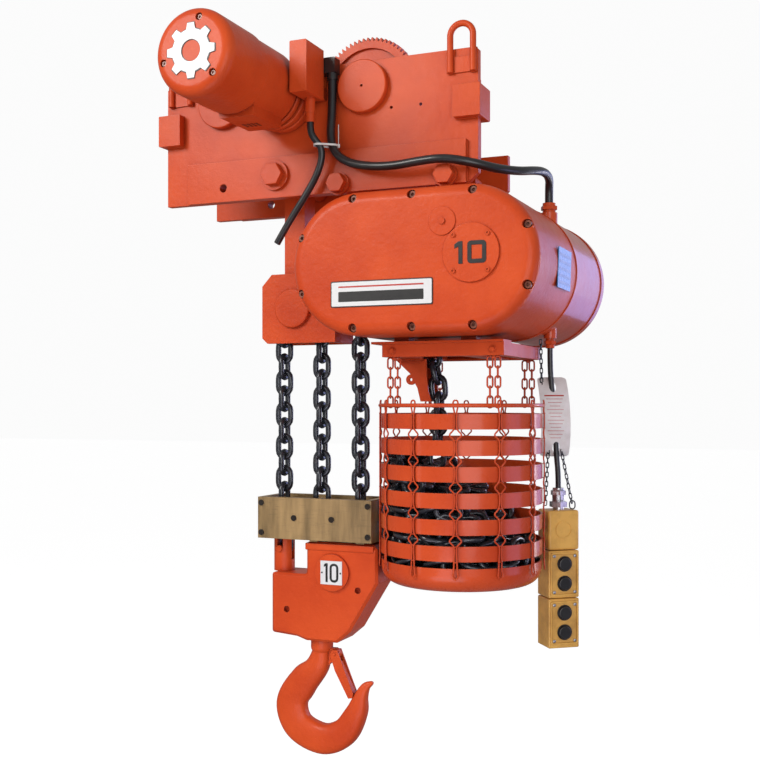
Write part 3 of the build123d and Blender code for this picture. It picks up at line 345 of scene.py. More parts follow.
def floor_paint():
    """A matt floor that also shines for the camera alone, so that it is as pale as the backdrop."""
    paint = Paint("pale_floor", (0.32, 0.32, 0.32), 0.9, specular=0.1)
    paint.set("Emission Color", (1.0, 1.0, 1.0, 1))
    seen = paint.add("ShaderNodeLightPath").outputs["Is Camera Ray"]
    paint.set("Emission Strength", paint.math("MULTIPLY", seen, 0.86))
    paint.set("Base Color", paint.mix(paint.noise(1.2), (0.31, 0.31, 0.31, 1), (0.33, 0.33, 0.33, 1)))
    return paint.done()


# enamel: name, roughness, depth of the cast skin, tint, reach of the rubbed and chipped edges and of the
# painted edge highlight, coat
ENAMEL = enamel("orange_enamel_plate", 0.34, 0.6)
ENAMEL_CAST = enamel("orange_enamel_casting", 0.34, 0.9)
ENAMEL_SHEEN = enamel("orange_enamel_housing", 0.32, 0.5, coat=0.5)
ENAMEL_GLOSS = enamel("orange_enamel_gloss", 0.26, 0.0, 0.92, coat=0.3)
ENAMEL_WIRE = enamel("orange_enamel_wire", 0.30, 0.0, 0.85, 0.0001)
# oily steel: name, colour, roughness, metallic, grease
CHAIN_STEEL = oily_steel("blacked_chain_steel", (0.024, 0.028, 0.036), 0.26, 0.35, 0.35)
PAINTED_SCREW = oily_steel("painted_screw_steel", (0.20, 0.052, 0.024), 0.42, 0.2, 0.5)
BLACK_SCREW = oily_steel("black_screw_steel", (0.030, 0.024, 0.021), 0.34, 0.7, 0.6)
BARE_STEEL = oily_steel("machined_steel", (0.42, 0.42, 0.43), 0.30, 1.0, 0.35)
CHROME = brushed_metal("chromed_brass", (0.74, 0.74, 0.75), 0.28)
COPPER = brushed_metal("copper_winding", (0.72, 0.30, 0.12), 0.34)
# moulded: name, colour, roughness, scale of the grain, its depth, coat, grime
RUBBER = moulded("black_rubber", (0.010, 0.010, 0.011), 0.34, 900.0, 0.00006, 0.25, (0.030, 0.030, 0.032))
BLACK_PLASTIC = moulded("black_button_plastic", (0.012, 0.012, 0.012), 0.30, 1200.0, 0.00004, 0.35,
                        (0.025, 0.025, 0.025))
YELLOW = moulded("pendant_yellow", (0.80, 0.45, 0.090), 0.36, 420.0, 0.00028, 0.3, (0.40, 0.175, 0.022))
YELLOW_PANEL = moulded("pendant_panel", (0.70, 0.38, 0.075), 0.44, 900.0, 0.00014, 0.1, (0.30, 0.13, 0.020))
NYLON = moulded("white_nylon", (0.80, 0.80, 0.76), 0.40, 700.0, 0.00005, 0.1, (0.58, 0.57, 0.50))
TAG_WHITE = moulded("tag_plastic", (0.86, 0.85, 0.84), 0.46, 300.0, 0.00012, 0.0, (0.62, 0.57, 0.52))
BOARD = fibre_board("laminated_fibre")
PLATE_WHITE = printed("plate_white", (0.74, 0.74, 0.73))
PLATE_BLACK = printed("plate_black", (0.012, 0.011, 0.011))
PLATE_RED = printed("plate_red", (0.50, 0.035, 0.020))
PLATE_BLUE = printed("plate_blue", (0.045, 0.22, 0.50), 0.24)
PLATE_NAVY = printed("plate_navy", (0.020, 0.115, 0.30), 0.30)


# ======== shapes
class Shape:
    """The vertices and faces of one piece while it is being built."""

    def __init__(self):
        self.verts = []
        self.faces = []
        self.kinds = []

    def add(self, verts, faces, kind=0, place=None):
        start = len(self.verts)
        for v in verts:
            self.verts.append(place @ Vector(v) if place else Vector(v))
        for face in faces:
            self.faces.append([start + i for i in face])
            self.kinds.append(kind)

    def rings(self, rings, closed, caps, kind=0, place=None):
        """Joins rings that have the same number of points."""
        sides = len(rings[0])
        verts = [v for ring in rings for v in ring]
        count = len(rings)
        faces = []
        for k in range(count if closed else count - 1):
            a = k * sides
            b = (k + 1) % count * sides
            for i in range(sides):
                j = (i + 1) % sides
                faces.append((a + i, a + j, b + j, b + i))
        if caps and not closed:
            faces.append(tuple(reversed(range(sides))))
            faces.append(tuple(range((count - 1) * sides, count * sides)))
        self.add(verts, faces, kind, place)

    def tube(self, points, radius, sides=10, closed=False, kind=0, place=None):
        """A round wire along points. The radius is one number or one for each point."""
        points = [Vector(p) for p in points]
        count = len(points)
        radii = radius if isinstance(radius, (list, tuple)) else [radius] * count
        up = None
        rings = []
        for k, point in enumerate(points):
            after = points[(k + 1) % count] if closed or k < count - 1 else point
            before = points[k - 1] if closed or k > 0 else point
            along = (after - before).normalized()
            if up is None:
                up = along.orthogonal().normalized()
            up = (up - along * up.dot(along)).normalized()
            side = along.cross(up)
            ring = []
            for i in range(sides):
                turn = 2 * pi * i / sides
                ring.append(point + radii[k] * (cos(turn) * up + sin(turn) * side))
            rings.append(ring)
        self.rings(rings, closed, True, kind, place)

    def lathe(self, profile, sides=48, place=None):
        """Turns (radius, height) points about Z. The ends are closed."""
        rings = []
        for r, z in profile:
            rings.append([(x, y, z) for x, y in circle(0, 0, r, sides)])
        self.rings(rings, False, True, place=place)

    def prism(self, outline, y0, y1, kind=0, place=None):
        """An outline in the XZ plane between two Y planes, y0 in front."""
        n = len(outline)
        verts = [(x, y0, z) for x, z in outline] + [(x, y1, z) for x, z in outline]
        faces = [tuple(range(n)), tuple(reversed(range(n, 2 * n)))]
        faces += [(i, i + n, (i + 1) % n + n, (i + 1) % n) for i in range(n)]
        self.add(verts, faces, kind, place)

    def frame_prism(self, outer, inner, y0, y1, kind=0, place=None):
        """The same with a hole of as many points as the outline."""
        corners = ((outer, y0), (outer, y1), (inner, y1), (inner, y0))
        self.rings([[(x, y, z) for x, z in line] for line, y in corners], True, False, kind, place)

    def piece(self, name, body, slot, *materials, bevel=0.0, angle=35):
        """Makes the object, which rides its body. A kind of face is the number of its material."""
        mesh = bpy.data.meshes.new(name)
        mesh.from_pydata(self.verts, [], self.faces)
        for material in materials:
            mesh.materials.append(material)
        for polygon, kind in zip(mesh.polygons, self.kinds):
            polygon.material_index = kind
            polygon.use_smooth = True
        mesh.validate()
        tidy_normals(mesh)
        mesh.set_sharp_from_angle(angle=radians(angle))
        obj = linked(name, mesh)
        if bevel:
            soft = obj.modifiers.new("soft_edges", "BEVEL")
            soft.width = bevel
            soft.segments = 2
            soft.limit_method = "ANGLE"
            soft.angle_limit = radians(angle)
            soft.harden_normals = True
        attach(obj, body)
        return obj


def tidy_normals(mesh):
    """Turns every face of a closed mesh outwards."""
    work = bmesh.new()
    work.from_mesh(mesh)
    bmesh.ops.recalc_face_normals(work, faces=work.faces)
    work.to_mesh(mesh)
    work.free()


def circle(x, z, r, count, start=0.0):
    """Points round a circle in the XZ plane."""
    turns = [start + 2 * pi * i / count for i in range(count)]
    return [(x + r * cos(t), z + r * sin(t)) for t in turns]


def rounded(x0, x1, z0, z1, r, steps=5):
    """A rectangle with round corners in the XZ plane."""
    points = []
    centres = ((x1 - r, z1 - r), (x0 + r, z1 - r), (x0 + r, z0 + r), (x1 - r, z0 + r))
    for quarter, (cx, cz) in enumerate(centres):
        for k in range(steps + 1):
            t = radians(90 * quarter + 90 * k / steps)
            points.append((cx + r * cos(t), cz + r * sin(t)))
    return points


def facing(x, y, z):
    """Carries a shape made about Z, so that its +Z end faces the front."""
    return moved(x, y, z) @ turned(90, "X")


# ======== cords
def nurbs_cord(name, points, diameter):
    """A round cord on one smooth curve with these control points."""
    curve = bpy.data.curves.new(name, "CURVE")
    curve.dimensions = "3D"
    spline = curve.splines.new("NURBS")
    spline.points.add(len(points) - 1)
    for point, place in zip(spline.points, points):
        point.co = (*place, 1)
    spline.order_u = 3
    spline.use_endpoint_u = True
    curve.resolution_u = 12
    curve.bevel_depth = diameter / 2
    curve.bevel_resolution = 5
    curve.use_fill_caps = True
    curve.materials.append(RUBBER)
    obj = linked(name, curve)
    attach(obj, "hoist")
    return obj


MAIN_ROUTE = (
    (0.128, -0.156, 0.124), (0.128, -0.156, 0.078), (0.127, -0.158, 0.026), (0.126, -0.164, -0.024),
    (0.142, -0.176, -0.070), (0.184, -0.186, -0.102), (0.244, -0.192, -0.118), (0.314, -0.196, -0.124),
    (0.384, -0.200, -0.118), (0.452, -0.202, -0.116), (0.516, -0.184, -0.128), (0.570, -0.140, -0.141),
    (0.610, -0.080, -0.139), (0.632, -0.020, -0.127), (0.644, 0.036, -0.120), (0.646, 0.084, -0.128),
    (0.638, 0.110, -0.154), (0.638, 0.110, -0.190))
SUPPLY_ROUTE = (
    (0.088, -0.205, 0.006), (0.088, -0.205, -0.020), (0.100, -0.198, -0.040), (0.113, -0.188, -0.060),
    (0.110, -0.184, -0.094), (0.090, -0.181, -0.136), (0.058, -0.178, -0.180), (0.022, -0.175, -0.226),
    (-0.006, -0.172, -0.264), (-0.028, -0.170, -0.296))
PENDANT_ROUTE = (
    (0.628, 0.160, -0.572), (0.628, 0.160, -0.626), (0.632, 0.164, -0.684), (0.639, 0.168, -0.744),
    (0.641, 0.170, -0.806), (0.643, 0.170, -0.862), (0.648, 0.170, -0.908), (0.648, 0.170, -0.949))
CORE_R = 0.0026
CORE_OFF_AXIS = 0.0042

main_cable = nurbs_cord("main_cable_jacket", MAIN_ROUTE, 0.022)
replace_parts(main_cable, "main_cable")

supply_cord = nurbs_cord("supply_cord_jacket", SUPPLY_ROUTE, 0.018)
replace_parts(supply_cord, "supply_cord")
cores = Shape()
cut = Vector(SUPPLY_ROUTE[-1])
run = (cut - Vector(SUPPLY_ROUTE[-2])).normalized()
across = run.orthogonal().normalized()
for core in range(3):
    off_axis = Matrix.Rotation(radians(120 * core), 3, run) @ across * CORE_OFF_AXIS
    cores.tube([cut - run * 0.002 + off_axis, cut + run * 0.0012 + off_axis], CORE_R, 12, kind=core)
core_ends = cores.piece("supply_cord_cores", "hoist", "copper_winding", COPPER, PLATE_BLUE, PLATE_WHITE)

pendant_cord = nurbs_cord("pendant_cord_jacket", PENDANT_ROUTE, 0.015)
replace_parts(pendant_cord, "pendant_cord")


# ======== load chain
LINK_ARC_STEPS = 8


def link_path(bend, half):
    """The centreline of a link, long side along Z, in the XZ plane. The welded side has more points."""
    points = []
    for centre, start, side, shares in ((half, 0, -bend, (0.34, 0.0, -0.34)), (-half, 180, bend, (0.4,))):
        for k in range(LINK_ARC_STEPS + 1):
            t = radians(start + 180 * k / LINK_ARC_STEPS)
            points.append((bend * cos(t), 0, centre + bend * sin(t)))
        points += [(side, 0, centre * share) for share in shares]
    return points


def add_link(shape, wire, bend, half, place, sides=12, weld=0.06):
    """A link of wire radius wire. The weld swells one long side by that share."""
    points = link_path(bend, half)
    radii = []
    for x, _, z in points:
        near = math.exp(-(z / (0.35 * half)) ** 2) if x < -0.9 * bend else 0.0
        radii.append(wire * (1 + weld * near))
    shape.tube(points, radii, sides, True, place=place)


def link_place(x, z, tilt, upright):
    """Where a link of the load chain lies: upright ones show their open face to the front."""
    place = moved(x, 0, z) @ Matrix.Rotation(tilt, 4, "Y")
    return place if upright else place @ turned(90, "Z")


def wrap_places(centre, over):
    """Four links round half a chain wheel."""
    mid_r = POCKET_R * cos(pi / 8)
    places = []
    for k in range(4):
        turn = radians(157.5 - 45 * k) if over else radians(202.5 + 45 * k)
        places.append(link_place(centre[0] + mid_r * cos(turn), centre[1] + mid_r * sin(turn),
                                 -turn, k % 2 == 1))
    return places


def fall_places(x, top, count, upright_first):
    """The links of one straight fall, as (x, z, upright)."""
    return [(x, top - PITCH * (k + 0.5), upright_first == (k % 2 == 0)) for k in range(count)]


SLACK_ROUTE = ((SLACK_X, -0.370), (SLACK_X, -0.440), (0.281, -0.492), (0.318, -0.546), (0.350, -0.602),
               (0.364, -0.660), (0.368, -0.720), (0.365, -0.790), (0.360, -0.905))


def on_route(route, distance):
    """The point that far along a route of straight runs, and the run's direction there."""
    for a, b in zip(route, route[1:]):
        length = math.dist(a, b)
        if distance <= length or b is route[-1]:
            run = Vector(b) - Vector(a)
            return Vector(a) + run * (distance / length), run
        distance -= length


def slack_places():
    """The loose run from the lift wheel through the chute into the container."""
    total = sum(math.dist(a, b) for a, b in zip(SLACK_ROUTE, SLACK_ROUTE[1:]))
    places = []
    for k in range(int(total / PITCH)):
        start, middle, end = (on_route(SLACK_ROUTE, (k + share) * PITCH)[0] for share in (0, 0.5, 1))
        tilt = math.atan2(end.x - start.x, end.y - start.y)
        places.append(link_place(middle.x, middle.y, tilt, k % 2 == 1))
    return places


falls = fall_places(FALLS[0], IDLER[1], 15, True)
falls += fall_places(FALLS[1], IDLER[1], 16, False)
falls += fall_places(FALLS[2], LIFT[1], 18, True)
upper = [link_place(x, z, 0, up) for x, z, up in falls if z > SPLIT_Z]
upper += wrap_places(IDLER, True) + wrap_places(LIFT, True) + slack_places()
lower = [link_place(x, z, 0, up) for x, z, up in falls if z < SPLIT_Z] + wrap_places(SHEAVE, False)
inner = [link_place(x, z, 0, up) for x, z, up in falls if SPLIT_Z < z < SPLIT_Z + LIFT_TRAVEL]
for name, body, places, stands_for in (("chain_falls_upper", "hoist", upper, "load_chain_upper"),
                                       ("chain_falls_lower", "block", lower, "load_chain_lower"),
                                       ("chain_falls_paid_out", "block", inner, None)):
    chain = Shape()
    wire = WIRE_R if stands_for else WIRE_R - HIDDEN_THINNER
    for place in places:
        add_link(chain, wire, BEND_R, LINK_HALF, place)
    obj = chain.piece(name, body, "dark_chain", CHAIN_STEEL, angle=80)
    if stands_for:
        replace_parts(obj, stands_for)


# ======== stored chain
HEAP_FOOT = -1.150
HEAP_LAYER = 0.032
HEAP_LAYERS = 11
HEAP_RINGS = (0.176, 0.136, 0.096, 0.056)
HEAP_HIGH = -0.808       # top of the pile on the chute's side
HEAP_LOW = -1.105        # and on the far side
PAN_ROUNDING_Z = -1.13   # below this the pan's round corner leaves no room for the outermost ring


def heap_top(x):
    """Height of the stored chain: piled up below the chute, low on the far side."""
    share = (x - (CAN[0] - CAN_R)) / (2 * CAN_R)
    return HEAP_HIGH + (HEAP_LOW - HEAP_HIGH) * share


def heap_link(x, y, z, turn, number):
    """A tangled link that runs roughly round the pile."""
    lie = moved(x, y, z + random.uniform(-0.004, 0.004))
    lie @= Matrix.Rotation(turn + random.uniform(-0.3, 0.3), 4, "Z")
    lie @= Matrix.Rotation(radians(90) + random.uniform(-0.35, 0.35), 4, "X")
    lie @= Matrix.Rotation(radians(90 * (number % 2)) + random.uniform(-0.5, 0.5), 4, "Z")
    return lie


heap = Shape()
random.seed(7)
for layer in range(HEAP_LAYERS):
    z = HEAP_FOOT + HEAP_LAYER * layer
    for r in HEAP_RINGS:
        if z < PAN_ROUNDING_Z and r == HEAP_RINGS[0]:
            continue
        count = int(2 * pi * r / PITCH)
        for k in range(count):
            turn = 2 * pi * k / count + 0.5 * layer
            x = CAN[0] + r * cos(turn)
            y = CAN[1] + r * sin(turn)
            if z <= heap_top(x):
                add_link(heap, WIRE_R, BEND_R, LINK_HALF, heap_link(x, y, z, turn, k), 8)
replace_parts(heap.piece("stored_chain_links", "hoist", "dark_chain", CHAIN_STEEL, angle=80), "stored_chain")


# ======== container strings and hanger chains
def smooth_line(points, steps):
    """A Catmull-Rom line through points."""
    points = [Vector(p) for p in points]
    line = []
    for k in range(len(points) - 1):
        a = points[max(k - 1, 0)]
        b = points[k]
        c = points[k + 1]
        d = points[min(k + 2, len(points) - 1)]
        for s in range(steps):
            t = s / steps
            line.append(0.5 * (2 * b + (c - a) * t + (2 * a - 5 * b + 4 * c - d) * t * t
                               + (3 * b - a - 3 * c + d) * t ** 3))
    line.append(points[-1])
    return line


def string_half(side):
    """One wire of a double string, as (sideways, outwards, height), from the rod down to the pan."""
    narrow = 0.0030 * side
    wide = 0.0145 * side
    points = [(0.0004 * side, 0.0, RING_Z + 0.013), (0.0050 * side, 0.001, RING_Z + 0.010),
              (0.0062 * side, 0.0015, RING_Z), (narrow, 0.001, RING_Z - 0.016)]
    for k in range(BANDS):
        top = BAND_TOP - k * BAND_PITCH
        gap = BAND_PITCH - BAND_H
        points.append((narrow, 0.0022, top - 0.002))
        points.append((narrow * 1.2, 0.0022, top - BAND_H + 0.003))
        if k < BANDS - 1:
            points.append((wide, 0.0005, top - BAND_H - gap / 2))
    points += [(0.0045 * side, 0.002, PAN_TOP - 0.004), (0.0062 * side, 0.003, PAN_TOP - 0.018),
               (0.0004 * side, 0.003, PAN_TOP - 0.026)]
    return points


STRINGS = 12
STRING_R = 0.0021
KNOT_R = 0.0013
KNOT_HALF = (0.0052, 0.0026)      # sideways, outwards
HANGER_PITCH = 0.0245
HANGER_HALF_GAP = 0.010           # the hanger chains are doubled
HANGER_LINKS = 5
HANGER_LINK = (0.0024, 0.0066, 0.0078)       # wire, bend, half length

strings = Shape()
for number in range(STRINGS):
    turn = radians(360 / STRINGS * (number + 0.5))
    out = Vector((cos(turn), sin(turn), 0))
    sideways = Vector((-sin(turn), cos(turn), 0))
    for side in (-1, 1):
        line = []
        for a, b, z in string_half(side):
            p = Vector((*CAN, 0)) + out * (CAN_R + 0.002 + b) + sideways * a
            line.append((p.x, p.y, z))
        strings.tube(smooth_line(line, 5), STRING_R, 8)
    for k in range(BANDS):
        knot = Vector((*CAN, 0)) + out * (CAN_R + 0.0035)
        for z in (BAND_TOP - k * BAND_PITCH, BAND_TOP - k * BAND_PITCH - BAND_H):
            ring = []
            for i in range(10):
                t = 2 * pi * i / 10
                p = knot + sideways * KNOT_HALF[0] * cos(t) + out * KNOT_HALF[1] * sin(t)
                ring.append((p.x, p.y, z))
            strings.tube(ring, KNOT_R, 6, True)

for hx, hy in HANGERS:
    for side in (-HANGER_HALF_GAP, HANGER_HALF_GAP):
        for k in range(HANGER_LINKS):
            place = moved(hx + side, hy, RAIL_FOOT - 0.016 - HANGER_PITCH * k)
            place @= turned(90 * (k % 2) + 20, "Z")
            add_link(strings, *HANGER_LINK, place, 8, 0.0)
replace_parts(strings.piece("container_wire_strings", "hoist", "orange_enamel", ENAMEL_WIRE, angle=80),
            "container_links")

RAIL_BOLT_Y = 0.1705
RAIL_BOLT_Z = -0.588
rail_bolts = Shape()
for hx, hy in HANGERS:
    place = moved(hx, math.copysign(RAIL_BOLT_Y, hy), RAIL_BOLT_Z)
    place @= turned(90 if hy < 0 else -90, "X")
    rail_bolts.lathe([(0.0095, -0.001), (0.0095, 0.001), (0.0088, 0.0016)], 32, place=place)
    rail_bolts.lathe([(0.0075, 0.0015), (0.0075, 0.0062), (0.0066, 0.0070)], 6, place=place)
rail_bolts.piece("container_rail_bolts", "hoist", "orange_enamel", ENAMEL, bevel=0.0004)


# ======== hook
# stations along the hook: x, z, direction of the inner edge in degrees, half width, half thickness
HOOK_STATIONS = ((0.022, -1.402, 270, 0.025, 0.025), (0.010, -1.447, 250, 0.033, 0.027),
                 (-0.032, -1.496, 226, 0.042, 0.028), (-0.070, -1.560, 270, 0.045, 0.028),
                 (-0.047, -1.624, 315, 0.043, 0.028), (0.028, -1.652, 360, 0.0415, 0.028),
                 (0.092, -1.626, 399, 0.038, 0.027), (0.128, -1.566, 434, 0.030, 0.024),
                 (0.142, -1.521, 430, 0.018, 0.018), (0.156, -1.495, 408, 0.012, 0.012),
                 (0.173, -1.484, 390, 0.006, 0.007))


def hook_piece():
    """A forged hook: flat cheeks, a broad inner edge and a thicker back, running out to the tip."""
    places = smooth_line([(x, 0, z) for x, z, _, _, _ in HOOK_STATIONS], 8)
    facts = smooth_line([(radians(t), w, d) for _, _, t, w, d in HOOK_STATIONS], 8)
    rings = []
    last = len(places) - 1
    for k, (place, fact) in enumerate(zip(places, facts)):
        inward = Vector((-sin(fact.x), 0, cos(fact.x)))
        flat = min(1.0, k / 14) * min(1.0, (last - k) / 12)     # round at both ends, flat between
        power = 2 / (2 + 1.3 * flat)
        ring = []
        for i in range(40):
            t = 2 * pi * i / 40
            a = math.copysign(abs(cos(t)) ** power, cos(t))
            b = math.copysign(abs(sin(t)) ** power, sin(t))
            b *= 1 - 0.16 * flat * max(0.0, a)
            ring.append(place + inward * fact.y * a + Vector((0, 1, 0)) * fact.z * b)
        rings.append(ring)
    tip = places[-1] + (places[-1] - places[-2]).normalized() * 0.004
    rings.append([tip + (p - places[-1]) * 0.55 for p in rings[-1]])
    shape = Shape()
    shape.rings(rings, False, True)
    shank = moved(HOOK_STATIONS[0][0], 0, 0)
    shape.lathe([(0.025, -1.410), (0.030, -1.403), (0.031, -1.398), (0.031, -1.376), (0.029, -1.3735),
                 (0.0248, -1.373), (0.0248, -1.330), (0.040, -1.3297), (0.040, -1.300), (0.0248, -1.2995),
                 (0.0248, -1.278), (0.023, -1.276)], 48, place=shank)
    latch_lug = [(0.038, -1.452), (0.038, -1.398), (0.066, -1.397), (0.074, -1.401), (0.079, -1.408),
                 (0.079, -1.416), (0.074, -1.424), (0.060, -1.432)]
    shape.prism(latch_lug, -0.008, 0.008)
    return shape.piece("forged_hook", "hook", "orange_enamel", ENAMEL_CAST, angle=38)


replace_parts(hook_piece(), "hook")


# ======== plates, figures and screws
def figure_ten(shape, centre, height, zero_width, stroke, corner, y0, y1, gap=0.012, flag=0.010):
    """The number ten in plain raised figures."""
    x, z = centre
    foot = z - height / 2
    head = z + height / 2
    total = stroke + flag + gap + zero_width
    left = x - total / 2
    one = [(left + flag, foot), (left + flag + stroke, foot), (left + flag + stroke, head),
           (left + flag, head), (left, head - stroke * 0.7), (left, head - stroke * 1.7),
           (left + flag, head - stroke * 1.2)]
    shape.prism(one, y0, y1)
    x0 = left + flag + stroke + gap
    outer = rounded(x0, x0 + zero_width, foot, head, corner)
    hole = rounded(x0 + stroke, x0 + zero_width - stroke, foot + stroke, head - stroke,
                   max(corner - stroke, 0.0012))
    shape.frame_prism(outer, hole, y0, y1)


disc_front = COVER_FRONT - 0.006
figures = Shape()
figure_ten(figures, INSPECTION, 0.053, 0.046, 0.010, 0.009, disc_front - 0.0016, disc_front + 0.001)
figures.piece("capacity_figures", "hoist", "plate_white", PLATE_BLACK, bevel=0.0004)

NAME_PLATE = (0.193, 0.461, -0.485, -0.421)       # x from, to, z from, to
NAME_EDGE = 0.0025
NAME_LINE = (0.214, 0.438, -0.4372, -0.4335)
NAME_BAR = (0.214, 0.438, -0.4720, -0.4470)

labels = Shape()
plate_y = COVER_FRONT - 0.002
x0, x1, z0, z1 = NAME_PLATE
labels.prism(rounded(x0, x1, z0, z1, 0.004), plate_y, COVER_FRONT + 0.0002, 1)
labels.prism(rounded(x0 + NAME_EDGE, x1 - NAME_EDGE, z0 + NAME_EDGE, z1 - NAME_EDGE, 0.003), plate_y - 0.0004,
             plate_y + 0.0003, 0)
labels.prism(rounded(*NAME_LINE, 0.0008), plate_y - 0.0007, plate_y, 2)
labels.prism(rounded(*NAME_BAR, 0.0015), plate_y - 0.0007, plate_y, 1)

# the rating plate lies on the motor's round side, two degrees above its middle
MOTOR_AXIS = (0.539, -0.377)
MOTOR_R = 0.177
rating = moved(MOTOR_AXIS[0], 0, MOTOR_AXIS[1]) @ turned(2, "Y")
rating = rating @ moved(MOTOR_R, 0, 0) @ turned(90, "Z")
labels.prism(rounded(-0.110, 0.020, -0.053, 0.047, 0.004), -0.002, 0.0005, 3, rating)
for row in range(5):
    z = 0.030 - 0.017 * row
    labels.prism(rounded(-0.100, 0.010, z - 0.0035, z + 0.0035, 0.001), -0.0023, -0.0015, 4, rating)
label_plates = labels.piece("name_and_rating_plates", "hoist", "plate_white", PLATE_WHITE, PLATE_BLACK,
                            PLATE_RED, PLATE_BLUE, PLATE_NAVY)
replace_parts(label_plates, "label_plates")

block_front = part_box("sheave_pin")[0].y
block_ten = Shape()
figure_ten(block_ten, SHEAVE, 0.051, 0.026, 0.0062, 0.012, block_front - 0.0010, block_front + 0.0006,
           gap=0.006, flag=0.005)
for side in (-0.0275, 0.0275):
    block_ten.lathe([(0.0024, -0.0005), (0.0024, 0.0010), (0.0015, 0.0016)], 20,
                    place=facing(SHEAVE[0] + side, block_front, SHEAVE[1]))
block_ten.piece("block_capacity_figures", "block", "plate_white", PLATE_BLACK, bevel=0.0003)

EMBLEM_TEETH = 8
EMBLEM_RIM = 0.0025      # the dark edge that shows round the white ring
EMBLEM_INNER_RIM = 0.0015
COWL_SCREWS_R = 0.080


def cog(x, z, outer, root, count):
    """The outline of a plain toothed ring."""
    points = []
    for k in range(count):
        for share, r in ((-0.30, root), (-0.18, outer), (0.18, outer), (0.30, root)):
            t = 2 * pi * (k + share) / count
            points.append((x + r * cos(t), z + r * sin(t)))
    return points


emblem = Shape()
for rim, inner_rim, height, kind in ((EMBLEM_RIM, EMBLEM_INNER_RIM, 0.0014, 1), (0.0, 0.0, 0.0030, 0)):
    outline = cog(*MOTOR, 0.065 + rim, 0.051 + rim, EMBLEM_TEETH)
    hole = circle(*MOTOR, 0.026 - inner_rim, len(outline), -0.3 * 2 * pi / EMBLEM_TEETH)
    emblem.frame_prism(outline, hole, COWL_FRONT - height, COWL_FRONT + 0.001, kind)
emblem.piece("cowl_emblem", "hoist", "plate_white", PLATE_WHITE, PLATE_BLACK, bevel=0.0008)

cowl_screws = Shape()
for turn in (75, 195, 315):
    px = MOTOR[0] + COWL_SCREWS_R * cos(radians(turn))
    pz = MOTOR[1] + COWL_SCREWS_R * sin(radians(turn))
    cowl_screws.lathe([(0.0068, -0.0002), (0.0068, 0.0040), (0.0058, 0.0050), (0.0032, 0.0050),
                       (0.0030, 0.0020)], 24, place=facing(px, COWL_FRONT + 0.010, pz))
cowl_screws.piece("cowl_screws", "hoist", "black_screw", PAINTED_SCREW)

louvre = Shape()
louvre_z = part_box("trolley_motor_body")[0].z
for k in range(4):
    x = MOTOR[0] - 0.020 + 0.012 * k
    louvre.prism(rounded(x, x + 0.008, -0.0004, 0.0016, 0.0006, 2), -0.300, -0.272,
                 place=moved(0, 0, louvre_z - 0.0004))
louvre.piece("motor_drain_louvre", "hoist", "black_screw", BLACK_SCREW)


# ======== pendant
MODULES = (-1.176, -1.306)               # middles of the two button modules
PANEL_HALF = (0.0395, 0.0575)
PANEL_LIP = 0.0043
BUTTONS = (-1.149, -1.201, -1.279, -1.331)
COLLAR_R = (0.0208, 0.0180)

panel_rims = Shape()
for mid in MODULES:
    half_x, half_z = PANEL_HALF
    outer = rounded(-half_x, half_x, mid - half_z, mid + half_z, 0.006)
    half_x -= PANEL_LIP
    half_z -= PANEL_LIP
    inner = rounded(-half_x, half_x, mid - half_z, mid + half_z, 0.0045)
    panel_rims.frame_prism(outer, inner, PENDANT_FRONT - 0.0045, PENDANT_FRONT + 0.001, 0, PENDANT)
panel_rims.piece("pendant_panel_rims", "hoist", "pendant_yellow", YELLOW, bevel=0.0012)

collars = Shape()
for z in BUTTONS:
    collars.frame_prism(circle(0, z, COLLAR_R[0], 40), circle(0, z, COLLAR_R[1], 40), PENDANT_FRONT - 0.0050,
                        PENDANT_FRONT - 0.0015, 0, PENDANT)
collars.piece("button_collars", "hoist", "black_rubber", RUBBER, bevel=0.0007)

pendant_screws = Shape()
for mid in MODULES:
    for sx in (-0.0295, 0.0295):
        for sz in (-0.048, 0.048):
            place = PENDANT @ facing(sx, PENDANT_FRONT - 0.0030, mid + sz)
            pendant_screws.lathe([(0.0042, -0.001), (0.0042, 0.0012), (0.0030, 0.0022), (0.0012, 0.0024)], 24,
                                 place=place)
pendant_screws.piece("pendant_screws", "hoist", "black_screw", BARE_STEEL)

gland = Shape()
profile = [(0.0150, -0.9935)]
for ridge in range(6):
    z = -0.9930 + 0.0022 * ridge
    profile += [(0.0170, z + 0.0006), (0.0158, z + 0.0017)]
profile += [(0.0165, -0.9680), (0.0185, -0.9662), (0.0185, -0.9600), (0.0172, -0.9560), (0.0150, -0.9530),
            (0.0095, -0.9500), (0.0078, -0.9495)]
gland.lathe(profile, 48, place=Matrix.Translation((*PENDANT_ROUTE[-1][:2], 0)))
gland.piece("pendant_gland_collar", "hoist", "chrome", CHROME)


# ======== tag and strain chain
TAG_TOP = -0.650
TAG_FOOT = -0.865
TAG_HALF = 0.039
TAG_CORNER = 0.010
TAG_HOLES = ((-0.0007, -0.676), (0.0025, -0.839))
TAG_HOLE_R = 0.0092
TAG_HOLE_SQUASH = 0.62   # the holes are slots, taller than wide by this share
TAG_SKIN = 0.0008        # half the tag's thickness
TAG_LINES = 12


def tag_point(x, z, lift):
    """A point of the flat tag carried onto its bowed shape, whose ends curl behind the cord."""
    share = 2 * (z - TAG_TOP) / (TAG_FOOT - TAG_TOP) - 1
    sway = 0.004 * share - 0.0075 * share ** 2
    bow = 0.034 * abs(share) ** 2.6 - 0.004
    return TAG @ Vector((x + sway, bow + lift, z))


def tag_half(z):
    """Half the tag's width at a height, less near the round corners."""
    end = min(TAG_TOP - z, z - TAG_FOOT)
    if end >= TAG_CORNER:
        return TAG_HALF
    return TAG_HALF - TAG_CORNER + math.sqrt(max(0.0, TAG_CORNER ** 2 - (TAG_CORNER - end) ** 2))


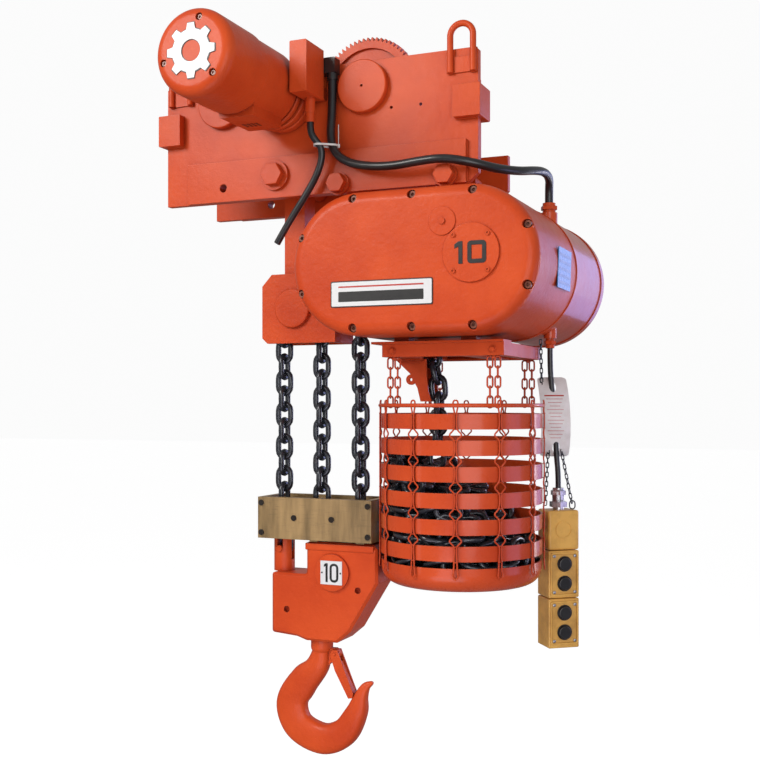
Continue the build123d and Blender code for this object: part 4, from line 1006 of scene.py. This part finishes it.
def bowed_tag():
    """A thin plastic tag with the cord threaded through two slots."""
    rows = 64
    columns = 24
    shape = Shape()
    grid = {}
    for side, lift in ((0, -TAG_SKIN), (1, TAG_SKIN)):
        for i in range(rows + 1):
            for j in range(columns + 1):
                z = TAG_TOP + (TAG_FOOT - TAG_TOP) * i / rows
                x = tag_half(z) * (2 * j / columns - 1)
                for hx, hz in TAG_HOLES:
                    d = Vector((x - hx, (z - hz) * TAG_HOLE_SQUASH))
                    if 1e-6 < d.length < TAG_HOLE_R:
                        d *= TAG_HOLE_R / d.length
                        x = hx + d.x
                        z = hz + d.y / TAG_HOLE_SQUASH
                grid[side, i, j] = len(shape.verts)
                shape.verts.append(tag_point(x, z, lift))

    def open_here(i, j):
        z = TAG_TOP + (TAG_FOOT - TAG_TOP) * (i + 0.5) / rows
        x = tag_half(z) * (2 * (j + 0.5) / columns - 1)
        return any(math.hypot(x - hx, (z - hz) * TAG_HOLE_SQUASH) < TAG_HOLE_R - 0.0012
                   for hx, hz in TAG_HOLES)

    def quad(*keys):
        shape.faces.append([grid[k] for k in keys])
        shape.kinds.append(0)

    solid = {(i, j) for i in range(rows) for j in range(columns) if not open_here(i, j)}
    for i, j in sorted(solid):
        quad((0, i, j), (0, i + 1, j), (0, i + 1, j + 1), (0, i, j + 1))
        quad((1, i, j), (1, i, j + 1), (1, i + 1, j + 1), (1, i + 1, j))
        for di, dj, a, b in ((-1, 0, (i, j), (i, j + 1)), (1, 0, (i + 1, j), (i + 1, j + 1)),
                             (0, -1, (i, j), (i + 1, j)), (0, 1, (i, j + 1), (i + 1, j + 1))):
            if (i + di, j + dj) not in solid:
                quad((0, *a), (0, *b), (1, *b), (1, *a))
    return shape


def add_tag_lines(shape):
    """A heading bar and rows of plain lines in place of print."""
    lines = [(-0.7000, 0.0018, 0.026)]
    lines += [(-0.7090 - 0.0095 * k, 0.0006, 0.022 - 0.004 * (k % 3)) for k in range(TAG_LINES)]
    for z, thick, half in lines:
        corners = ((-half, -thick), (half, -thick), (half, thick), (-half, thick))
        layers = (-TAG_SKIN - 0.0003, -TAG_SKIN + 0.0004)
        shape.rings([[tag_point(x, z + dz, lift) for x, dz in corners] for lift in layers], False, True, 1)


tag = bowed_tag()
add_tag_lines(tag)
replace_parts(tag.piece("identification_tag", "hoist", "white_nylon", TAG_WHITE, PLATE_RED), "pendant_tag")

STRAIN_RUNS = (((0.602, 0.160, -0.549), (0.606, 0.158, -0.690), (0.622, 0.163, -0.850),
                (0.612, 0.172, -0.997)),
               ((0.656, 0.170, -0.846), (0.684, 0.176, -0.990)))
STRAIN_PITCH = 0.0126
STRAIN_LINK = (0.0015, 0.0036, 0.0042)
STRAIN_RING = (0.0018, 0.0075, 0.0035)

strain = Shape()
for route in STRAIN_RUNS:
    total = sum(math.dist(a, b) for a, b in zip(route, route[1:]))
    count = int(total / STRAIN_PITCH)
    for k in range(count):
        middle, heading = on_route(route, (k + 0.5) / count * total)
        place = Matrix.Translation(middle) @ heading.to_track_quat("Z", "Y").to_matrix().to_4x4()
        add_link(strain, *STRAIN_LINK, place @ turned(90 * (k % 2) + 25, "Z"), 8, 0.0)
add_link(strain, *STRAIN_RING, moved(0.685, 0.176, -0.994), 8, 0.0)
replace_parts(strain.piece("strain_chain_links", "hoist", "bare_steel", CHAIN_STEEL, angle=80), "strain_chain")


# ======== weld beads
BEAD_STEP = 0.0016
STOPS = ((-0.391, -0.338, -0.005, 0.080), (0.464, 0.522, -0.008, 0.072))     # x from, to, z from, to
EYES = (-0.343, 0.481)
EYE_HALF = 0.030
PLATE_FRONT = -0.1405


def bead(shape, a, b, radius=0.0030):
    """A hand-laid weld, rippled along its length."""
    a = Vector(a)
    b = Vector(b)
    count = max(4, int((b - a).length / BEAD_STEP))
    points = []
    radii = []
    for k in range(count + 1):
        p = a + (b - a) * k / count
        wobble = noise.noise(p * 160)
        points.append(p + Vector((0, 0, 1)) * 0.0005 * wobble)
        radii.append(radius * (0.86 + 0.16 * abs(sin(k * 1.3)) + 0.18 * wobble))
    shape.tube(points, radii, 8)


welds = Shape()
for x0, x1, z0, z1 in STOPS:
    bead(welds, (x0, PLATE_FRONT, z0), (x1, PLATE_FRONT, z0))
    inner_x = x1 if x0 < 0 else x0
    bead(welds, (inner_x, PLATE_FRONT, z0), (inner_x, PLATE_FRONT, z1), 0.0022)
for x in EYES:
    for leg in (-EYE_HALF, EYE_HALF):
        for edge in (-0.0075, 0.0075):
            bead(welds, (x + leg + edge, -0.1415, 0.108), (x + leg + edge, -0.1415, 0.166), 0.0026)
        bead(welds, (x + leg - 0.007, -0.1430, 0.1065), (x + leg + 0.007, -0.1430, 0.1065), 0.0026)
for x in (-0.318, 0.493):
    bead(welds, (x, PLATE_FRONT, -0.166), (x, PLATE_FRONT, -0.064), 0.0024)
welds.piece("plate_weld_beads", "hoist", "orange_enamel", ENAMEL, angle=70)


# ======== finishes of the CAD nodes
def paint_node(name, material, extra=None):
    """Gives a CAD node its material. Extra ones go to the faces whose centres their test picks."""
    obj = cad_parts[name]
    obj.data.materials.clear()
    obj.data.materials.append(material)
    kinds = [0] * len(obj.data.polygons)
    for number, (other, chosen) in enumerate(extra or (), 1):
        obj.data.materials.append(other)
        for polygon in obj.data.polygons:
            if chosen(polygon.center):
                kinds[polygon.index] = number
    obj.data.polygons.foreach_set("material_index", kinds)


BOARD_BOLTS = ((-0.130, -1.078), (-0.130, -0.996), (0.192, -1.078), (0.192, -0.996), (-0.029, -1.035),
               (0.085, -1.035))
BOARD_BOLT_R = 0.0056
STRAP_Y = 0.0539         # the steel straps lie between the boards, whose outer faces end at BOARD_Y
STRAP_X = (-0.120, 0.180)
BOARD_Y = 0.0721
PIN_PLATE_Y = -0.0632    # faces of the sheave pin in front of this are its number plate
WHEEL_X = 0.2125
WHEEL_Z = 0.1
TREAD_R = 0.098          # outside this and inboard of TREAD_Y a wheel is worn bright
TREAD_Y = 0.0839


def near_bolt(centre):
    """A face of one of the bolts that hold the fibre boards."""
    return any(math.hypot(centre.x - x, centre.z - z) < BOARD_BOLT_R for x, z in BOARD_BOLTS)


def on_tread(side):
    """Tells the running faces of the wheels on one side."""
    return lambda c: abs(c.y) < TREAD_Y and math.hypot(c.x - side * WHEEL_X, c.z - WHEEL_Z) > TREAD_R


FINISHES = {
    ENAMEL: ("front_side_plate", "rear_side_plate", "load_plates", "end_stop_blocks", "lifting_eyes",
             "suspension_bolts", "axle_pins", "junction_box", "container_frame", "chain_chute",
             "drive_pinion", "latch"),
    ENAMEL_CAST: ("trolley_gearbox", "trolley_motor_body", "trolley_motor_cowl", "hoist_frame", "gear_cover",
                  "inspection_cover", "control_cover", "block_housing", "chain_anchor", "hook", "idler_pin"),
    ENAMEL_SHEEN: ("motor_housing", "motor_end_bell"),
    ENAMEL_GLOSS: ("container_bands", "container_pan", "container_links"),
    CHAIN_STEEL: ("load_chain_upper", "load_chain_lower", "stored_chain"),
    BARE_STEEL: ("trolley_rotor", "hoist_rotor", "intermediate_gear", "idler_gear", "lift_wheel",
                 "idler_sheave", "bottom_sheave", "strain_chain"),
    COPPER: ("hoist_stator",),
    RUBBER: ("main_cable", "supply_cord", "pendant_cord"),
    NYLON: ("cable_tie", "pendant_tag"),
    YELLOW: ("pendant_housing",),
    YELLOW_PANEL: ("pendant_panels",),
    BLACK_PLASTIC: ("button_1", "button_2", "button_3", "button_4"),
    PLATE_WHITE: ("label_plates",),
}
for material, names in FINISHES.items():
    for name in names:
        paint_node(name, material)

paint_node("sheave_pin", ENAMEL_CAST, [(PLATE_WHITE, lambda c: c.y < PIN_PLATE_Y)])
paint_node("buffer_boards", BOARD, [
    (ENAMEL, lambda c: abs(c.y) < STRAP_Y and STRAP_X[0] < c.x < STRAP_X[1]),
    (BLACK_SCREW, lambda c: abs(c.y) > BOARD_Y or near_bolt(c))])
paint_node("cover_screws", PAINTED_SCREW, [
    (ENAMEL, lambda c: math.hypot(c.x - INSPECTION[0], c.z - INSPECTION[1]) < INSPECTION_R)])
paint_node("cable_glands", ENAMEL, [
    (BLACK_PLASTIC, lambda c: c.y < -0.13 and c.z > 0.12),
    (CHROME, lambda c: c.z < -0.90)])
for row in ("front", "rear"):
    paint_node(row + "_left_wheel", ENAMEL, [(BARE_STEEL, on_tread(-1))])
    paint_node(row + "_right_wheel", ENAMEL, [(BARE_STEEL, on_tread(1))])


# ======== stage
WHITE = (1.0, 1.0, 1.0, 1)
FLOOR_Z = cad_box[0][2] - LIFT_TRAVEL - 0.09     # clear of the hook at its lowest
FLOOR_HALF = 30.0
AIM = Vector((0.15, 0, -0.72))

corners = [(sx * FLOOR_HALF, sy * FLOOR_HALF, FLOOR_Z) for sx, sy in ((-1, -1), (1, -1), (1, 1), (-1, 1))]
floor_mesh = bpy.data.meshes.new("floor")
floor_mesh.from_pydata(corners, [], [(0, 1, 2, 3)])
floor_mesh.materials.append(floor_paint())
linked("floor", floor_mesh)


def studio_backdrop(glow, seen_as):
    """A soft white surround: it lights the hoist by glow and looks as bright as seen_as."""
    world = bpy.data.worlds.new("studio")
    world.use_nodes = True
    tree = world.node_tree
    lit = tree.nodes["Background"]
    seen = tree.nodes.new("ShaderNodeBackground")
    for node, strength in ((lit, glow), (seen, seen_as)):
        node.inputs["Color"].default_value = WHITE
        node.inputs["Strength"].default_value = strength
    ray = tree.nodes.new("ShaderNodeLightPath")
    pick = tree.nodes.new("ShaderNodeMixShader")
    tree.links.new(ray.outputs["Is Camera Ray"], pick.inputs[0])
    tree.links.new(lit.outputs[0], pick.inputs[1])
    tree.links.new(seen.outputs[0], pick.inputs[2])
    tree.links.new(pick.outputs[0], tree.nodes["World Output"].inputs["Surface"])
    return world


def soft_light(name, place, size, power, colour, tall=0.0):
    """A round light, or an upright strip where a height is given."""
    light = bpy.data.lights.new(name, "AREA")
    light.shape = "RECTANGLE" if tall else "DISK"
    light.size = size
    light.size_y = tall or size
    light.energy = power
    light.color = colour
    obj = linked(name, light)
    obj.location = place
    obj.rotation_euler = (AIM - Vector(place)).to_track_quat("-Z", "Y").to_euler()
    obj.visible_camera = False


scene.world = studio_backdrop(0.38, 0.97)
soft_light("key_light", (-1.6, -3.2, 1.3), 1.8, 95, (1.0, 0.97, 0.93))
soft_light("fill_light", (2.2, -3.0, -0.5), 2.2, 38, (0.96, 0.97, 1.0))
soft_light("edge_light", (1.9, 3.2, -0.3), 2.6, 29, (0.36, 0.42, 1.0))
soft_light("side_light", (3.3, 0.2, -1.1), 1.4, 12, (0.60, 0.52, 1.0))
soft_light("strip_light", (2.24, 2.39, -0.9), 0.30, 15, (1.0, 0.98, 1.0), 2.2)
soft_light("left_strip_light", (-1.9, -2.7, -1.0), 0.25, 3, (1.0, 0.96, 0.92), 1.4)
soft_light("low_light", (0.4, -1.4, -1.75), 1.2, 9, (0.88, 0.84, 1.0))
